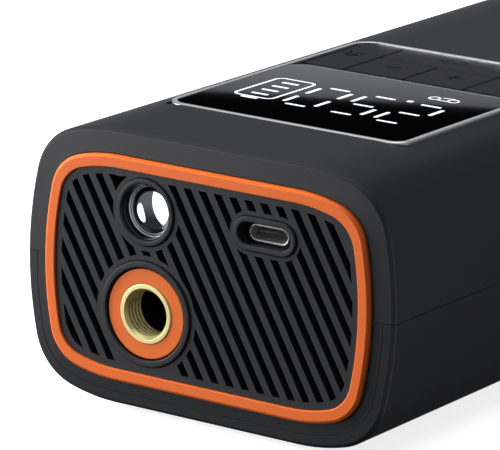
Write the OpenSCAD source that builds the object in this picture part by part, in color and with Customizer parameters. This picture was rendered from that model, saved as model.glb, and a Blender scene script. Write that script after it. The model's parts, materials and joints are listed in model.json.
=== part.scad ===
// Portable jump starter with a built-in tyre inflator.
// X runs across the body, Y from the front (air outlet) end to the rear end, Z is up.
// The origin is the middle of the footprint, on the surface that the feet stand on.

/* [Housing] */
// Width over the gently bulged sides
body_w = 84; // [82:0.5:88]
// Height of the housing without its feet
body_h = 54.1; // [53.5:0.2:57.5]
// Length over both end rings
overall_l = 200; // [198:1:220]
// Radius of the four long corners
corner_r = 12; // [11:0.2:13]
// Radius of the gentle slope between each corner and the flat top or bottom
brow_r = 38; // [34:1:42]
// Radius of the bulged side faces
side_r = 74; // [71:1:90]
// Wall thickness of both half shells
wall = 2.4; // [2.2:0.1:2.6]
// Height that the rubber feet stand out
foot_h = 1.2; // [0.8:0.1:2]
// Distance of the shell screws from the sides of the body
screw_margin = 12; // [11.5:0.1:12.5]

/* [End rings and grille] */
// Width of the plain bezel round an end ring
bezel_w = 4.9; // [4.6:0.1:5.4]
// Width of the orange end ring
ring_w = 2.4; // [2:0.1:2.8]
// Height that the end ring stands out of the bezel
ring_rise = 1; // [0.8:0.1:1.4]
// Width of the plain border round the grille slots
grille_border = 1.4; // [1.2:0.1:1.8]
// Slot spacing, measured across the slots
slot_pitch = 3.0; // [2.8:0.1:3.4]
// Slot width
slot_w = 1.55; // [1.2:0.05:1.8]
// Lean of the slots from upright
slot_lean = 30; // [20:1:40]

/* [Ports] */
// Radius of the lamp's opening
lamp_r = 5.5; // [5:0.1:5.8]
// Distance of the lamp's middle from the side of the body
lamp_side = 28.4; // [28:0.1:29]
// Distance of the charging port's middle from the other side of the body
port_side = 28.4; // [28:0.1:29]
// Distance of the air outlet's middle from the side of the body
outlet_side = 28.8; // [28.4:0.1:29.2]
// Wall radius of the air outlet's thread (M10 x 1, minor diameter)
thread_r = 4.46; // [4.46]
// Depth of the air outlet's thread
thread_l = 11; // [10:0.5:11]

/* [Control panel] */
// Distance of the panel's long edges from the sides of the body
panel_margin = 14.5; // [14:0.1:15]
// Distance of the panel's front edge behind the bezel
panel_start = 23.8; // [23:0.1:25]
// Length of the display
display_l = 47.2; // [46:0.1:48]
// Length of the keypad
keypad_l = 24; // [23.5:0.1:24.5]
// Distance that a key travels
key_travel = 0.6; // [0.4:0.1:0.6]

/* [Compressor] */
// Gear module of the reduction
gear_module = 0.8; // [0.8]
// Teeth on the motor pinion
pinion_teeth = 10; // [10]
// Teeth on the crank gear
crank_teeth = 50; // [50]
// Crank throw, half of the piston's stroke
crank_throw = 5.5; // [4.5:0.1:5.5]
// Bore radius of the cylinder
cylinder_r = 8; // [7:0.1:8]
// Radial clearance of running fits
running_fit = 0.05; // [0.03:0.01:0.08]

/* [Battery] */
// Distance of the cells from the sides of the body
cell_margin = 12.5; // [12:0.1:14]
// Height of the parts on the main board
component_h = 7; // [6:0.5:7]

/* [Jump socket] */
// Width of the socket's mouth
socket_w = 21; // [20:0.5:22]
// Height of the socket's mouth
socket_h = 10.4; // [10:0.1:11]
// Thickness of the socket's cover
cover_t = 2.4; // [2:0.1:2.4]

/* [Hidden] */

$fn = 64;
shell_colour = "#303134";
plate_colour = "#46474a";
key_colour = "#333438";
accent_colour = "#e8703a";
brass_colour = "#d8bd7a";
steel_colour = "#b9bbbe";
board_colour = "#1f5c3a";

// Facets on a corner arc, on the slope beside it and on a bulged side arc
corner_steps = 9;
brow_steps = 3;
side_steps = 12;
// Angle above the level at which a corner turns into its slope
brow_angle = 73.8;
// Share of an inset that a corner's radius loses, so that inner outlines keep soft corners
corner_follow = 0.7;

// Heights and lengths of the housing
mid_z = foot_h + body_h / 2;
top_z = foot_h + body_h;
face_y = overall_l / 2 - ring_rise;
plate_in_y = face_y - wall;
slip = 0.1;

// Insets of the cross-section for each outline of an end face
ring_outer = bezel_w;
ring_inner = bezel_w + ring_w;
tongue_inset = bezel_w + 0.9;
slot_inset = ring_inner + grille_border;
flange_inset = wall + 2;
flange_t = 1.6;
plate_rise = 0.55;
collar_rise = 0.45;

// Lamp and charging port, on one level under the end ring
lamp_collar_r = lamp_r + 1.1;
lamp_land_r = lamp_r + 2.1;
upper_z = top_z - ring_inner - lamp_collar_r - 1;
lamp_x = body_w / 2 - lamp_side;
port_x = body_w / 2 - port_side;
lens_r = lamp_r - 0.5;
port_open = [11.8, 4.3];
port_collar = [14.2, 6.7];
port_land = [15.8, 8.5];
usb_c_size = [8.94, 3.26];
usb_c_l = 7.3;
usb_c_y = -face_y + 0.8;

// Air outlet
outlet_collar_r = 10.4;
outlet_x = body_w / 2 - outlet_side;
outlet_z = foot_h + ring_inner + outlet_collar_r + 1.6;
outlet_seat_r = 9.07;
outlet_land_r = 11.45;
washer_r = 8.8;
nozzle_r = 5.95;
nozzle_y = -face_y - 0.7;
nozzle_barb_r = 2.5;
nozzle_air_r = 1.5;
hex_flats = 16;
hex_back_y = -face_y + 10.8;
hose_r = 4.2;
hose_l = 18.5;

// Control panel
panel_half_w = body_w / 2 - panel_margin;
panel_y0 = -face_y + panel_start;
panel_split_y = panel_y0 + display_l;
panel_y1 = panel_split_y + keypad_l;
panel_seat_z = top_z - 1.6;
frame_w = 1.1;
frame_proud = 0.12;
panel_ease = 0.35;
panel_ease_z = top_z + frame_proud - panel_ease;
front_corner_r = 3.5;
rear_corner_r = 5;
glass_ledge = 2;
glass_end_y = panel_split_y - 1.2;
glass_corner_r = 4;
key_gap = 0.15;
key_wall_gap = 0.3;
key_top_z = top_z - 0.35;
key_flange = 0.8;
key_plate_t = 1.05;
key_plate_z = top_z - wall - 0.35 - key_plate_t;
middle_x = -2.4;
column_x = 14.1;
row_split = 13.3;
switch_h = 1.4;
board_t = 1;
panel_board_z = key_plate_z - key_travel - 0.05 - switch_h - board_t;
board_post_r = 1.8;
board_post_x = panel_half_w - frame_w + key_flange + 0.7 + board_post_r;
board_half_w = board_post_x + board_post_r + 0.3;
display_module_margin = 5;

// Compressor, laid out on the air outlet's axis from the front to the rear
pump_x = -outlet_x;
head_t = 7;
cylinder_l = 20.5;
gear_t = 4.6;
gear_gap = 1.55;
crank_tip_r = gear_module * (crank_teeth / 2 + 0.5625);
head_y = hex_back_y + hose_l + head_t;
cylinder_end_y = head_y + cylinder_l;
crank_y = cylinder_end_y + gear_gap + crank_tip_r;
centre_distance = gear_module * (pinion_teeth + crank_teeth) / 2;
motor_x = pump_x + centre_distance;
frame_t = 2.4;
frame_z = foot_h + wall + 2.4;
frame_top_z = frame_z + frame_t;
frame_half_w = body_w / 2 - 11;
frame_end_y = crank_y + crank_tip_r + 3.5;
mount_t = 1.6;
mount_post_r = 1.8;
gear_z = frame_top_z + 1;
axle_r = 2.5;
crank_pin_r = 1.8;
rod_t = 5;
rod_w = 5;
rod_z = outlet_z - rod_t / 2;
rod_eye_r = 4.5;
open_pivot_gap = 0.3;
piston_l = 8;
piston_y = head_y + 0.5;
cylinder_wall = 1.5;
fin_r = 11.4;
head_half = 11;
fan_h = 4;
fan_z = panel_board_z - 1.95 - fan_h;
can_r = 13.8;
can_z0 = gear_z + gear_t + 0.6 + mount_t;
can_z1 = fan_z - 1;
can_wall = 1.2;
can_cap = 2;
shaft_r = 1.2;
bearing_hole_r = 6;

// Shell screws and feet
screw_x = body_w / 2 - screw_margin;
screw_y = face_y - 10.8;
screw_r = 1.5;
screw_l = 24;
screw_head_r = 2.8;
screw_head_z = 5;
boss_r = 4.2;
boss_top_z = 13;
foot_x = screw_x - 11;
foot_y = screw_y - 8;
foot_r = 5;
foot_sink = 0.8;

// Rear sockets
socket_x = 19 - screw_x;
socket_back_y = face_y - 14.8;
socket_wall = 2;
contact_spread = 5.25;
contact_r = 2.5;
contact_tail = 3.6;
usb_a_x = screw_x - 13;
usb_a_size = [12.9, 5.1];
cover_w = 26;
cover_h = 17;
cover_gap = 0.3;
hinge_z = mid_z + cover_h / 2 + 1.6;
hinge_y = face_y - 0.2;
hinge_pin_r = 0.8;
knuckle_r = 1.3;
ear_w = 4;

// Battery and main board, between the compressor and the jump socket
main_board_t = 1.6;
board_z = top_z - wall - 1.2 - component_h - main_board_t;
tray_z = foot_h + wall + 1.8;
tray_wall = 1.2;
cell_z = tray_z + 1;
cells = 4;
cell_w = body_w - 2 * cell_margin;
cell_t = (board_z - 1.2 - cell_z) / cells;
battery_y0 = frame_end_y + 2;
cell_l = socket_back_y - contact_tail - 0.4 - battery_y0;
stack_top_z = cell_z + cells * cell_t;
layout_gap = 5;
chip = [9, 9, 1.4];
chip_y = 4.8;
coil = [16, 12, component_h - 2.6];
coil_y = cell_l - coil.y - 3.2;
sink_x = 8;
sink_y = chip_y + chip.y + layout_gap;
capacitor_r = 4;
capacitor_x = cell_w - 14;
strap_w = 12;
strap_t = 0.6;

// Signs of the four corners, for the screws and the feet
corners = [[-1, -1], [1, -1], [-1, 1], [1, 1]];

// Points along an arc about [cx, cy], leaving out the first one when "skip" is 1
function arc(cx, cy, r, from, to, steps, skip = 0) =
    [for (i = [skip : steps]) let (t = from + (to - from) * i / steps) [cx + r * cos(t), cy + r * sin(t)]];

// Right half of the housing's cross-section, drawn in by "inset", from the bottom to the top
function half_outline(inset) =
    let (
        side = side_r - inset,
        brow = brow_r - inset,
        corner = corner_r - corner_follow * inset,
        side_x = body_w / 2 - side_r,
        tilt = asin((body_h / 2 - inset - brow - (corner - brow) * sin(brow_angle)) / (side - corner)),
        corner_x = side_x + (side - corner) * cos(tilt),
        corner_z = (side - corner) * sin(tilt),
        brow_x = corner_x + (corner - brow) * cos(brow_angle),
        brow_z = corner_z + (corner - brow) * sin(brow_angle)
    )
    concat(
        arc(brow_x, -brow_z, brow, -90, -brow_angle, brow_steps),
        arc(corner_x, -corner_z, corner, -brow_angle, -tilt, corner_steps, 1),
        arc(side_x, 0, side, -tilt, tilt, side_steps, 1),
        arc(corner_x, corner_z, corner, tilt, brow_angle, corner_steps, 1),
        arc(brow_x, brow_z, brow, brow_angle, 90, brow_steps, 1)
    );

function flipped(points) = [for (i = [len(points) - 1 : -1 : 0]) [-points[i].x, points[i].y]];

// Cross-section of the housing, drawn in by "inset", at its real height
module section(inset) {
    half = half_outline(inset);
    translate([0, mid_z]) polygon(concat(half, flipped(half)));
}

// Extrudes a shape drawn in X and Z along the body, from y0 to y1
module along(y0, y1) {
    translate([0, y1, 0]) rotate([90, 0, 0]) linear_extrude(y1 - y0) children();
}

// Turns a profile drawn as [radius, distance along Y] round a lengthwise axis through [x, z]
module turned(x, z) {
    translate([x, 0, z]) rotate([-90, 0, 0]) rotate_extrude() children();
}

// Round bar along Y
module bar(x, z, r, y0, y1) {
    translate([x, y1, z]) rotate([90, 0, 0]) cylinder(r = r, h = y1 - y0);
}

// Rectangle with round ends, centred on [x, z]
module stadium(x, z, size) {
    translate([x, z]) {
        square([size.x - size.y, size.y], center = true);
        for (side = [-1, 1]) translate([side * (size.x - size.y) / 2, 0]) circle(d = size.y);
    }
}

// Plate from corner to corner, "low" to "high"
module block(low, high) {
    translate(low) cube(high - low);
}

// Outline of the control panel, drawn in by "inset"; the rear corners are rounder
module panel_outline(inset, y0 = panel_y0, y1 = panel_y1, rear_r = rear_corner_r) {
    w = panel_half_w - inset;
    f = front_corner_r - inset / 2;
    r = rear_r - inset / 2;
    low = y0 + inset;
    high = y1 - inset;
    right = concat(arc(w - f, low + f, f, -90, 0, 8), arc(w - r, high - r, r, 0, 90, 8));
    polygon(concat(right, flipped(right)));
}

// ---------------------------------------------------------------- housing

module lower_half_space(y0, y1) {
    block([-body_w, y0, -1], [body_w, y1, mid_z]);
}

// Display and keypad windows, cut right through the top wall
module panel_windows() {
    translate([0, 0, top_z - wall - 1]) linear_extrude(wall + 2) {
        intersection() {
            panel_outline(glass_ledge);
            translate([-body_w / 2, panel_y0]) square([body_w, glass_end_y - 1 - panel_y0]);
        }
        intersection() {
            panel_outline(frame_w);
            translate([-body_w / 2, panel_split_y]) square([body_w, keypad_l]);
        }
    }
}

// Post that hangs from the roof of the upper shell down to z0
module roof_post(x, y, z0, r) {
    intersection() {
        translate([x, y, z0]) cylinder(r = r, h = top_z - z0);
        along(y - 2 * r, y + 2 * r) section(wall / 2);
    }
}

module upper_shell() {
    color(shell_colour) {
        difference() {
            union() {
                difference() {
                    along(-face_y, face_y) section(0);
                    lower_half_space(-face_y - 1, face_y + 1);
                }
                for (end = [-face_y, plate_in_y]) intersection() {
                    along(end, end + wall) section(wall);
                    lower_half_space(-face_y - 1, face_y + 1);
                }
            }
            along(-plate_in_y, plate_in_y) section(wall);
            along(-face_y - 1, face_y + 1) section(tongue_inset);
            translate([0, 0, panel_seat_z]) linear_extrude(wall) panel_outline(0);
            panel_windows();
        }
        // Screw posts and panel board posts, which end inside the wall
        for (x = [-screw_x, screw_x], y = [-screw_y, screw_y]) difference() {
            roof_post(x, y, boss_top_z, boss_r - 0.4);
            translate([x, y, screw_head_z]) cylinder(r = screw_r, h = screw_l);
        }
        for (x = [-board_post_x, board_post_x], y = [panel_y0 + 6, panel_split_y - 8, panel_y1 - 6])
            roof_post(x, y, panel_board_z + board_t, board_post_r);
    }
}

module floor_rib(y, z1) {
    half = body_w / 2 - 20;
    block([-half, y, foot_h + wall - 0.2], [half, y + 3, z1]);
}

module lower_shell() {
    color(shell_colour) {
        difference() {
            intersection() {
                along(-face_y, face_y) section(0);
                lower_half_space(-face_y - 1, face_y + 1);
            }
            along(-face_y - 1, face_y + 1) section(wall);
            for (x = [-screw_x, screw_x], y = [-screw_y, screw_y]) translate([x, y, -1])
                cylinder(r = screw_head_r + 0.2, h = boss_top_z);
            for (x = [-foot_x, foot_x], y = [-foot_y, foot_y]) translate([x, y, 0])
                cylinder(r = foot_r, h = foot_h + foot_sink);
        }
        for (x = [-screw_x, screw_x], y = [-screw_y, screw_y]) difference() {
            intersection() {
                translate([x, y, 0]) cylinder(r = boss_r, h = boss_top_z);
                along(-face_y, face_y) section(0);
            }
            translate([x, y, -1]) cylinder(r = screw_r + 0.2, h = boss_top_z + 2);
            translate([x, y, -1]) cylinder(r = screw_head_r + 0.2, h = screw_head_z + 1);
        }
        // Ribs that carry the compressor frame and the battery tray
        for (y = [head_y - 3.5, cylinder_end_y + 6, frame_end_y - 8]) floor_rib(y, frame_z);
        for (y = [battery_y0 + 6, battery_y0 + cell_l / 2, battery_y0 + cell_l - 8]) floor_rib(y, tray_z);
    }
}

// End ring with a softened front edge and a tongue that fills the bezel's opening
module end_ring() {
    ease = 0.3;
    along(-face_y - ring_rise, -face_y - ring_rise + ease) difference() {
        section(ring_outer + ease);
        section(ring_inner - ease);
    }
    along(-face_y - ring_rise + ease, -face_y) difference() {
        section(ring_outer);
        section(ring_inner);
    }
    along(-face_y, -plate_in_y) difference() {
        section(tongue_inset);
        section(ring_inner);
    }
}

module front_ring() {
    color(accent_colour) end_ring();
}

module rear_ring() {
    color(accent_colour) mirror([0, 1, 0]) end_ring();
}

module slot_field() {
    reach = body_w;
    first = -0.48;
    translate([0, mid_z]) rotate(slot_lean) for (k = [-14 : 14])
        translate([first + k * slot_pitch - slot_w / 2, -reach / 2]) square([slot_w, reach]);
}

// Everything that is cut through the grille between its slots' borders
module slots() {
    intersection() {
        slot_field();
        difference() {
            section(slot_inset);
            translate([-lamp_x, upper_z]) circle(r = lamp_land_r);
            stadium(port_x, upper_z, port_land);
            translate([pump_x, outlet_z]) circle(r = outlet_land_r);
        }
    }
}

module front_grille() {
    front = -face_y - plate_rise;
    color(plate_colour) difference() {
        union() {
            along(front, -plate_in_y) section(ring_inner);
            along(-plate_in_y, -plate_in_y + flange_t) section(flange_inset);
            bar(-lamp_x, upper_z, lamp_collar_r, front - collar_rise, front + 1);
            bar(pump_x, outlet_z, outlet_collar_r, front - collar_rise, front + 1);
            along(front - collar_rise, front + 1) stadium(port_x, upper_z, port_collar);
        }
        along(front - 2, -plate_in_y + flange_t + 1) slots();
        bar(-lamp_x, upper_z, lamp_r, front - 2, -plate_in_y + flange_t + 1);
        along(front - 2, -plate_in_y + flange_t + 1) stadium(port_x, upper_z, port_open);
        bar(pump_x, outlet_z, nozzle_r, front - 2, -plate_in_y + flange_t + 1);
        bar(pump_x, outlet_z, outlet_seat_r, front - 2, -face_y + 0.8);
    }
}

// ---------------------------------------------------------------- lamp and charging port

module lamp_barrel() {
    mouth = -face_y - 0.4;
    color("#0b0b0c") turned(-lamp_x, upper_z) polygon([
        [lamp_r, mouth],
        [lamp_r, mouth + 12],
        [lens_r, mouth + 12],
        [lens_r, mouth + 2],
        [lamp_r - 0.3, mouth]
    ]);
}

// Thick bulging lens that stands on the lamp board
module lamp_lens() {
    rim_y = -face_y + 1.6;
    dome = 1.9;
    dome_r = (lens_r * lens_r + dome * dome) / (2 * dome);
    half_angle = asin(lens_r / dome_r);
    cap = [for (i = [0 : 8]) let (t = half_angle * i / 8)
        [dome_r * sin(t), rim_y - dome + dome_r * (1 - cos(t))]];
    color("white") turned(-lamp_x, upper_z) polygon(concat(cap, [[lens_r, rim_y + 3], [0, rim_y + 3]]));
}

module lamp_board() {
    back = -face_y + 11.6;
    color(board_colour) {
        bar(-lamp_x, upper_z, 7.5, back, back + board_t);
        bar(-lamp_x, upper_z, 2, back - 1.2, back);
    }
}

module usb_c_port() {
    color(steel_colour) {
        along(usb_c_y, usb_c_y + usb_c_l) difference() {
            stadium(port_x, upper_z, usb_c_size);
            stadium(port_x, upper_z, usb_c_size - [0.6, 0.6]);
        }
        along(usb_c_y + usb_c_l - 1.4, usb_c_y + usb_c_l) stadium(port_x, upper_z, usb_c_size - [0.6, 0.6]);
    }
    color("black") block(
        [port_x - 3.35, usb_c_y + 1, upper_z - 0.35],
        [port_x + 3.35, usb_c_y + usb_c_l - 1.4, upper_z + 0.35]
    );
}

module usb_board() {
    below = upper_z - usb_c_size.y / 2;
    color(board_colour) block(
        [port_x - 11, -plate_in_y + flange_t, below - board_t],
        [port_x + 11, -plate_in_y + flange_t + 16, below]
    );
    color("#202022") block([port_x - 3, usb_c_y + 10, below], [port_x + 3, usb_c_y + 16, below + 1.2]);
}

// ---------------------------------------------------------------- air outlet

module air_nozzle() {
    lead_in = 0.54;
    color(brass_colour) difference() {
        union() {
            bar(pump_x, outlet_z, nozzle_r, nozzle_y, hex_back_y);
            translate([pump_x, hex_back_y, outlet_z]) rotate([90, 0, 0])
                cylinder(d = hex_flats / cos(30), h = hex_back_y + plate_in_y - flange_t, $fn = 6);
            bar(pump_x, outlet_z, nozzle_barb_r, hex_back_y - 1, hex_back_y + 8);
        }
        bar(pump_x, outlet_z, thread_r, nozzle_y - 1, nozzle_y + thread_l);
        bar(pump_x, outlet_z, nozzle_air_r, nozzle_y, hex_back_y + 9);
        turned(pump_x, outlet_z) polygon([
            [0, nozzle_y - 1],
            [thread_r + lead_in, nozzle_y - 1],
            [thread_r + lead_in, nozzle_y],
            [thread_r, nozzle_y + lead_in],
            [0, nozzle_y + lead_in]
        ]);
    }
}

module nozzle_washer() {
    color(accent_colour) difference() {
        bar(pump_x, outlet_z, washer_r, -face_y - 0.5, -face_y + 0.8);
        bar(pump_x, outlet_z, nozzle_r, -face_y - 2, -face_y + 2);
    }
}

// ---------------------------------------------------------------- control panel

// Upright extrusion from z0 to z1
module upright(z0, z1) {
    translate([0, 0, z0]) linear_extrude(z1 - z0) children();
}

module panel_frame() {
    color(steel_colour) for (ease = [0, panel_ease])
        upright(ease == 0 ? panel_seat_z : panel_ease_z, panel_ease_z + ease) difference() {
            panel_outline(ease);
            panel_outline(frame_w);
        }
}

module glass_outline(inset) {
    panel_outline(frame_w + slip + inset, y1 = glass_end_y + frame_w + slip, rear_r = glass_corner_r);
}

module display_glass() {
    color("#0a0a0c") {
        upright(panel_seat_z, panel_ease_z) glass_outline(0);
        upright(panel_ease_z, panel_ease_z + panel_ease) glass_outline(panel_ease);
    }
}

// Segment display block that stands on the panel board under the glass
module display_module() {
    half = panel_half_w - display_module_margin - 0.4;
    color("#151517") block(
        [-half, panel_y0 + display_module_margin, panel_board_z + board_t],
        [half, glass_end_y - 2, panel_seat_z]
    );
}

module panel_board() {
    color(board_colour) block(
        [-board_half_w, panel_y0 + 2, panel_board_z],
        [board_half_w, panel_y1 - 1, panel_board_z + board_t]
    );
    color(steel_colour) for (at = key_centres())
        translate([at.x, at.y, panel_board_z + board_t]) cylinder(r = 2, h = switch_h);
}

function key_centres() = [
    [(middle_x - column_x - panel_half_w) / 2 + 0.7, panel_split_y + keypad_l / 2],
    [middle_x - column_x / 2, panel_split_y + row_split / 2],
    [middle_x + column_x / 2, panel_split_y + row_split / 2],
    [middle_x, panel_split_y + row_split + (keypad_l - row_split) / 2],
    [(middle_x + column_x + panel_half_w) / 2 - 0.7, panel_split_y + keypad_l / 2]
];

// One key: a cap cut out of the keypad's outline and a plate that holds it under the shell.
// "tuck" is how far the plate reaches forward, under the rib that carries the glass.
module key(x0, y0, x1, y1, tuck = key_flange) {
    g = key_gap;
    cap_z = key_plate_z + key_plate_t;
    color(key_colour) {
        upright(cap_z, key_top_z) intersection() {
            panel_outline(frame_w + g);
            translate([x0 + g, y0 + g]) square([x1 - x0 - 2 * g, y1 - y0 - 2 * g]);
        }
        intersection() {
            upright(key_plate_z, cap_z) intersection() {
                panel_outline(frame_w - key_flange);
                translate([x0 + g, y0 + g - tuck]) square([x1 - x0 - 2 * g, y1 - y0 - 2 * g + tuck]);
            }
            along(panel_y0, panel_y1 + 5) section(wall + key_wall_gap);
        }
    }
}

module light_key() {
    key(-body_w / 2, panel_split_y, middle_x - column_x, panel_y1 + 2);
}

module minus_key() {
    key(middle_x - column_x, panel_split_y, middle_x, panel_split_y + row_split);
}

module plus_key() {
    key(middle_x, panel_split_y, middle_x + column_x, panel_split_y + row_split);
}

module mode_key() {
    key(middle_x - column_x, panel_split_y + row_split, middle_x + column_x, panel_y1 + 2, tuck = 0);
}

module power_key() {
    key(middle_x + column_x, panel_split_y, body_w / 2, panel_y1 + 2);
}

// ---------------------------------------------------------------- compressor

// Involute flank: points from the root circle out to the tip circle, at half of the tooth's width
function flank(teeth, tip_r, root_r, backlash) =
    let (
        pitch_r = gear_module * teeth / 2,
        base_r = pitch_r * cos(20),
        start_r = max(base_r, root_r),
        spread = function (r) let (a = acos(min(1, base_r / r))) tan(a) * 180 / PI - a,
        half = 90 / teeth - backlash / pitch_r * 90 / PI + spread(pitch_r)
    )
    concat(
        [[root_r, half - spread(start_r)]],
        [for (i = [0 : 4]) let (r = start_r + (tip_r - start_r) * i / 4) [r, half - spread(r)]]
    );

function polar(r, angle) = [r * cos(angle), r * sin(angle)];

module spur_gear(teeth, tip_r, root_r, backlash = 0.12) {
    side = flank(teeth, tip_r, root_r, backlash);
    points = [for (t = [0 : teeth - 1]) each concat(
        [for (i = [0 : len(side) - 1]) polar(side[i][0], t * 360 / teeth - side[i][1])],
        [for (i = [len(side) - 1 : -1 : 0]) polar(side[i][0], t * 360 / teeth + side[i][1])]
    )];
    polygon(points);
}

module pump_frame() {
    mount_x = [motor_x - 10.6, frame_half_w - 3];
    mount_y = [crank_y - 19, crank_y + 19];
    mount_z = can_z0 - mount_t;
    post_inset = 2;
    color(steel_colour) {
        difference() {
            block([-frame_half_w, head_y - head_t - 1, frame_z], [frame_half_w, frame_end_y, frame_top_z]);
            translate([motor_x, crank_y, frame_z - 1]) cylinder(r = bearing_hole_r, h = frame_t + 2);
            translate([pump_x, crank_y, frame_z - 1]) cylinder(r = axle_r, h = frame_t + 2);
        }
        // Raised plate that carries the motor, on four posts outside the crank gear
        for (x = [mount_x[0] + 3, mount_x[1] - post_inset])
            for (y = [mount_y[0] + post_inset, mount_y[1] - post_inset]) translate([x, y, frame_top_z])
                cylinder(r = mount_post_r, h = mount_z - frame_top_z);
        difference() {
            block([mount_x[0], mount_y[0], mount_z], [mount_x[1], mount_y[1], can_z0]);
            translate([motor_x, crank_y, mount_z - 1]) cylinder(r = bearing_hole_r, h = mount_t + 2);
        }
    }
}

module motor_can() {
    color(steel_colour) difference() {
        translate([motor_x, crank_y, can_z0]) cylinder(r = can_r, h = can_z1 - can_z0);
        translate([motor_x, crank_y, can_z0 + can_cap])
            cylinder(r = can_r - can_wall, h = can_z1 - can_z0 - 2 * can_cap);
        translate([motor_x, crank_y, 0]) cylinder(r = shaft_r + running_fit, h = top_z);
    }
}

module motor_rotor() {
    core_gap = can_cap + 3;
    color("#8a5a34") {
        translate([motor_x, crank_y, gear_z]) cylinder(r = shaft_r, h = fan_z + fan_h - gear_z);
        translate([motor_x, crank_y, can_z0 + core_gap])
            cylinder(r = can_r - can_wall - 0.8, h = can_z1 - can_z0 - 2 * core_gap);
    }
}

module motor_pinion() {
    tip_r = gear_module * (pinion_teeth / 2 + 1);
    root_r = gear_module * (pinion_teeth / 2 - 1.0625);
    color(brass_colour) translate([motor_x, crank_y, gear_z]) linear_extrude(gear_t) difference() {
        rotate(180 / pinion_teeth) spur_gear(pinion_teeth, tip_r, root_r);
        circle(r = shaft_r);
    }
}

module cooling_fan() {
    blades = 7;
    hub_r = 3.4;
    blade = [9, 4.8, 0.8];
    color("#3a3b3e") translate([motor_x, crank_y, fan_z]) {
        difference() {
            cylinder(r = hub_r, h = fan_h);
            translate([0, 0, -1]) cylinder(r = shaft_r, h = fan_h + 2);
        }
        for (i = [0 : blades - 1]) rotate(i * 360 / blades) translate([hub_r - 0.4, 0, fan_h / 2])
            rotate([35, 0, 0]) translate([0, -blade.y / 2, -blade.z / 2]) cube(blade);
    }
}

module gear_axle() {
    color(steel_colour) translate([pump_x, crank_y, frame_z])
        cylinder(r = axle_r, h = gear_z + gear_t - frame_z);
}

module crank_gear() {
    root_r = gear_module * (crank_teeth / 2 - 1.25);
    color("#d9d4c8") translate([pump_x, crank_y, gear_z]) {
        linear_extrude(gear_t) difference() {
            spur_gear(crank_teeth, crank_tip_r, root_r);
            circle(r = axle_r + running_fit);
            for (a = [0, 90, 180]) rotate(a) translate([crank_tip_r * 0.59, 0]) circle(r = crank_tip_r / 5);
        }
        translate([0, -crank_throw, gear_t - 0.5])
            cylinder(r = crank_pin_r, h = rod_z - open_pivot_gap - gear_z - gear_t + 0.5);
    }
}

// Piston with its rigid rod, drawn at the front end of the stroke
module piston_rod() {
    eye_y = crank_y - crank_throw;
    color(steel_colour) {
        bar(pump_x, outlet_z, cylinder_r - running_fit, piston_y, piston_y + piston_l);
        difference() {
            union() {
                translate([pump_x, eye_y, rod_z]) cylinder(r = rod_eye_r, h = rod_t);
                block(
                    [pump_x - rod_w / 2, piston_y + piston_l - 1, rod_z],
                    [pump_x + rod_w / 2, eye_y - 2, rod_z + rod_t]
                );
            }
            translate([pump_x, eye_y, rod_z - 1]) cylinder(r = crank_pin_r + running_fit, h = rod_t + 2);
        }
    }
}

module pump_cylinder() {
    color("#a9abae") difference() {
        union() {
            bar(pump_x, outlet_z, cylinder_r + cylinder_wall, head_y, cylinder_end_y);
            for (y = [head_y + 2.2 : 2.6 : cylinder_end_y - 6]) bar(pump_x, outlet_z, fin_r, y, y + 1);
            block(
                [pump_x - head_half, cylinder_end_y - 4, frame_top_z],
                [pump_x + head_half, cylinder_end_y, outlet_z + head_half]
            );
        }
        bar(pump_x, outlet_z, cylinder_r, head_y - 1, cylinder_end_y + 1);
    }
}

module cylinder_head() {
    color("#8f9194") difference() {
        union() {
            block(
                [pump_x - head_half, head_y - head_t, frame_top_z],
                [pump_x + head_half, head_y, outlet_z + head_half]
            );
            bar(pump_x, outlet_z, nozzle_barb_r, head_y - head_t - 6, head_y - head_t + 1);
        }
        bar(pump_x, outlet_z, nozzle_air_r, head_y - head_t - 7, head_y - 2);
    }
}

module air_hose() {
    color("#2c2c2e") difference() {
        bar(pump_x, outlet_z, hose_r, hex_back_y, head_y - head_t);
        bar(pump_x, outlet_z, nozzle_barb_r, hex_back_y - 1, head_y - head_t + 1);
    }
}

module pressure_sensor() {
    color("#e7e3d6") translate([pump_x, head_y - head_t / 2, outlet_z + head_half]) {
        cylinder(r = 3, h = 5);
        translate([0, 0, 4]) cylinder(r = 1.4, h = 4);
    }
}

// ---------------------------------------------------------------- battery and electronics

module battery_tray() {
    half = cell_w / 2;
    y0 = battery_y0 - tray_wall;
    y1 = battery_y0 + cell_l + tray_wall;
    rim_z = cell_z + 1.8 * cell_t;
    color("#5a5b5e") {
        difference() {
            block([-half - tray_wall, y0, tray_z], [half + tray_wall, y1, rim_z]);
            block([-half, battery_y0, cell_z], [half, battery_y0 + cell_l, rim_z + 1]);
        }
        // Corner pillars up to the main board
        for (x = [-half - tray_wall, half - 3], y = [y0, y1 - tray_wall])
            block([x, y, rim_z - 4], [x + 3 + tray_wall, y + tray_wall, board_z]);
    }
}

module cell(i) {
    half = cell_w / 2;
    color("#b7b9bd") block(
        [-half, battery_y0, cell_z + i * cell_t],
        [half, battery_y0 + cell_l, cell_z + (i + 1) * cell_t]
    );
}

module battery_strap() {
    half = cell_w / 2 + tray_wall;
    y0 = battery_y0 + cell_l / 2 - strap_w / 2;
    y1 = y0 + strap_w;
    color("#1d4f8f") difference() {
        block([-half - strap_t, y0, cell_z + 4], [half + strap_t, y1, stack_top_z + strap_t]);
        block([-half, y0 - 1, tray_z], [half, y1 + 1, stack_top_z]);
    }
}

// A part that stands on the main board, placed from the board's front left corner
module on_board(x, y, size) {
    low = [x - cell_w / 2, battery_y0 + y, board_z + main_board_t];
    block(low, low + size);
}

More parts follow.
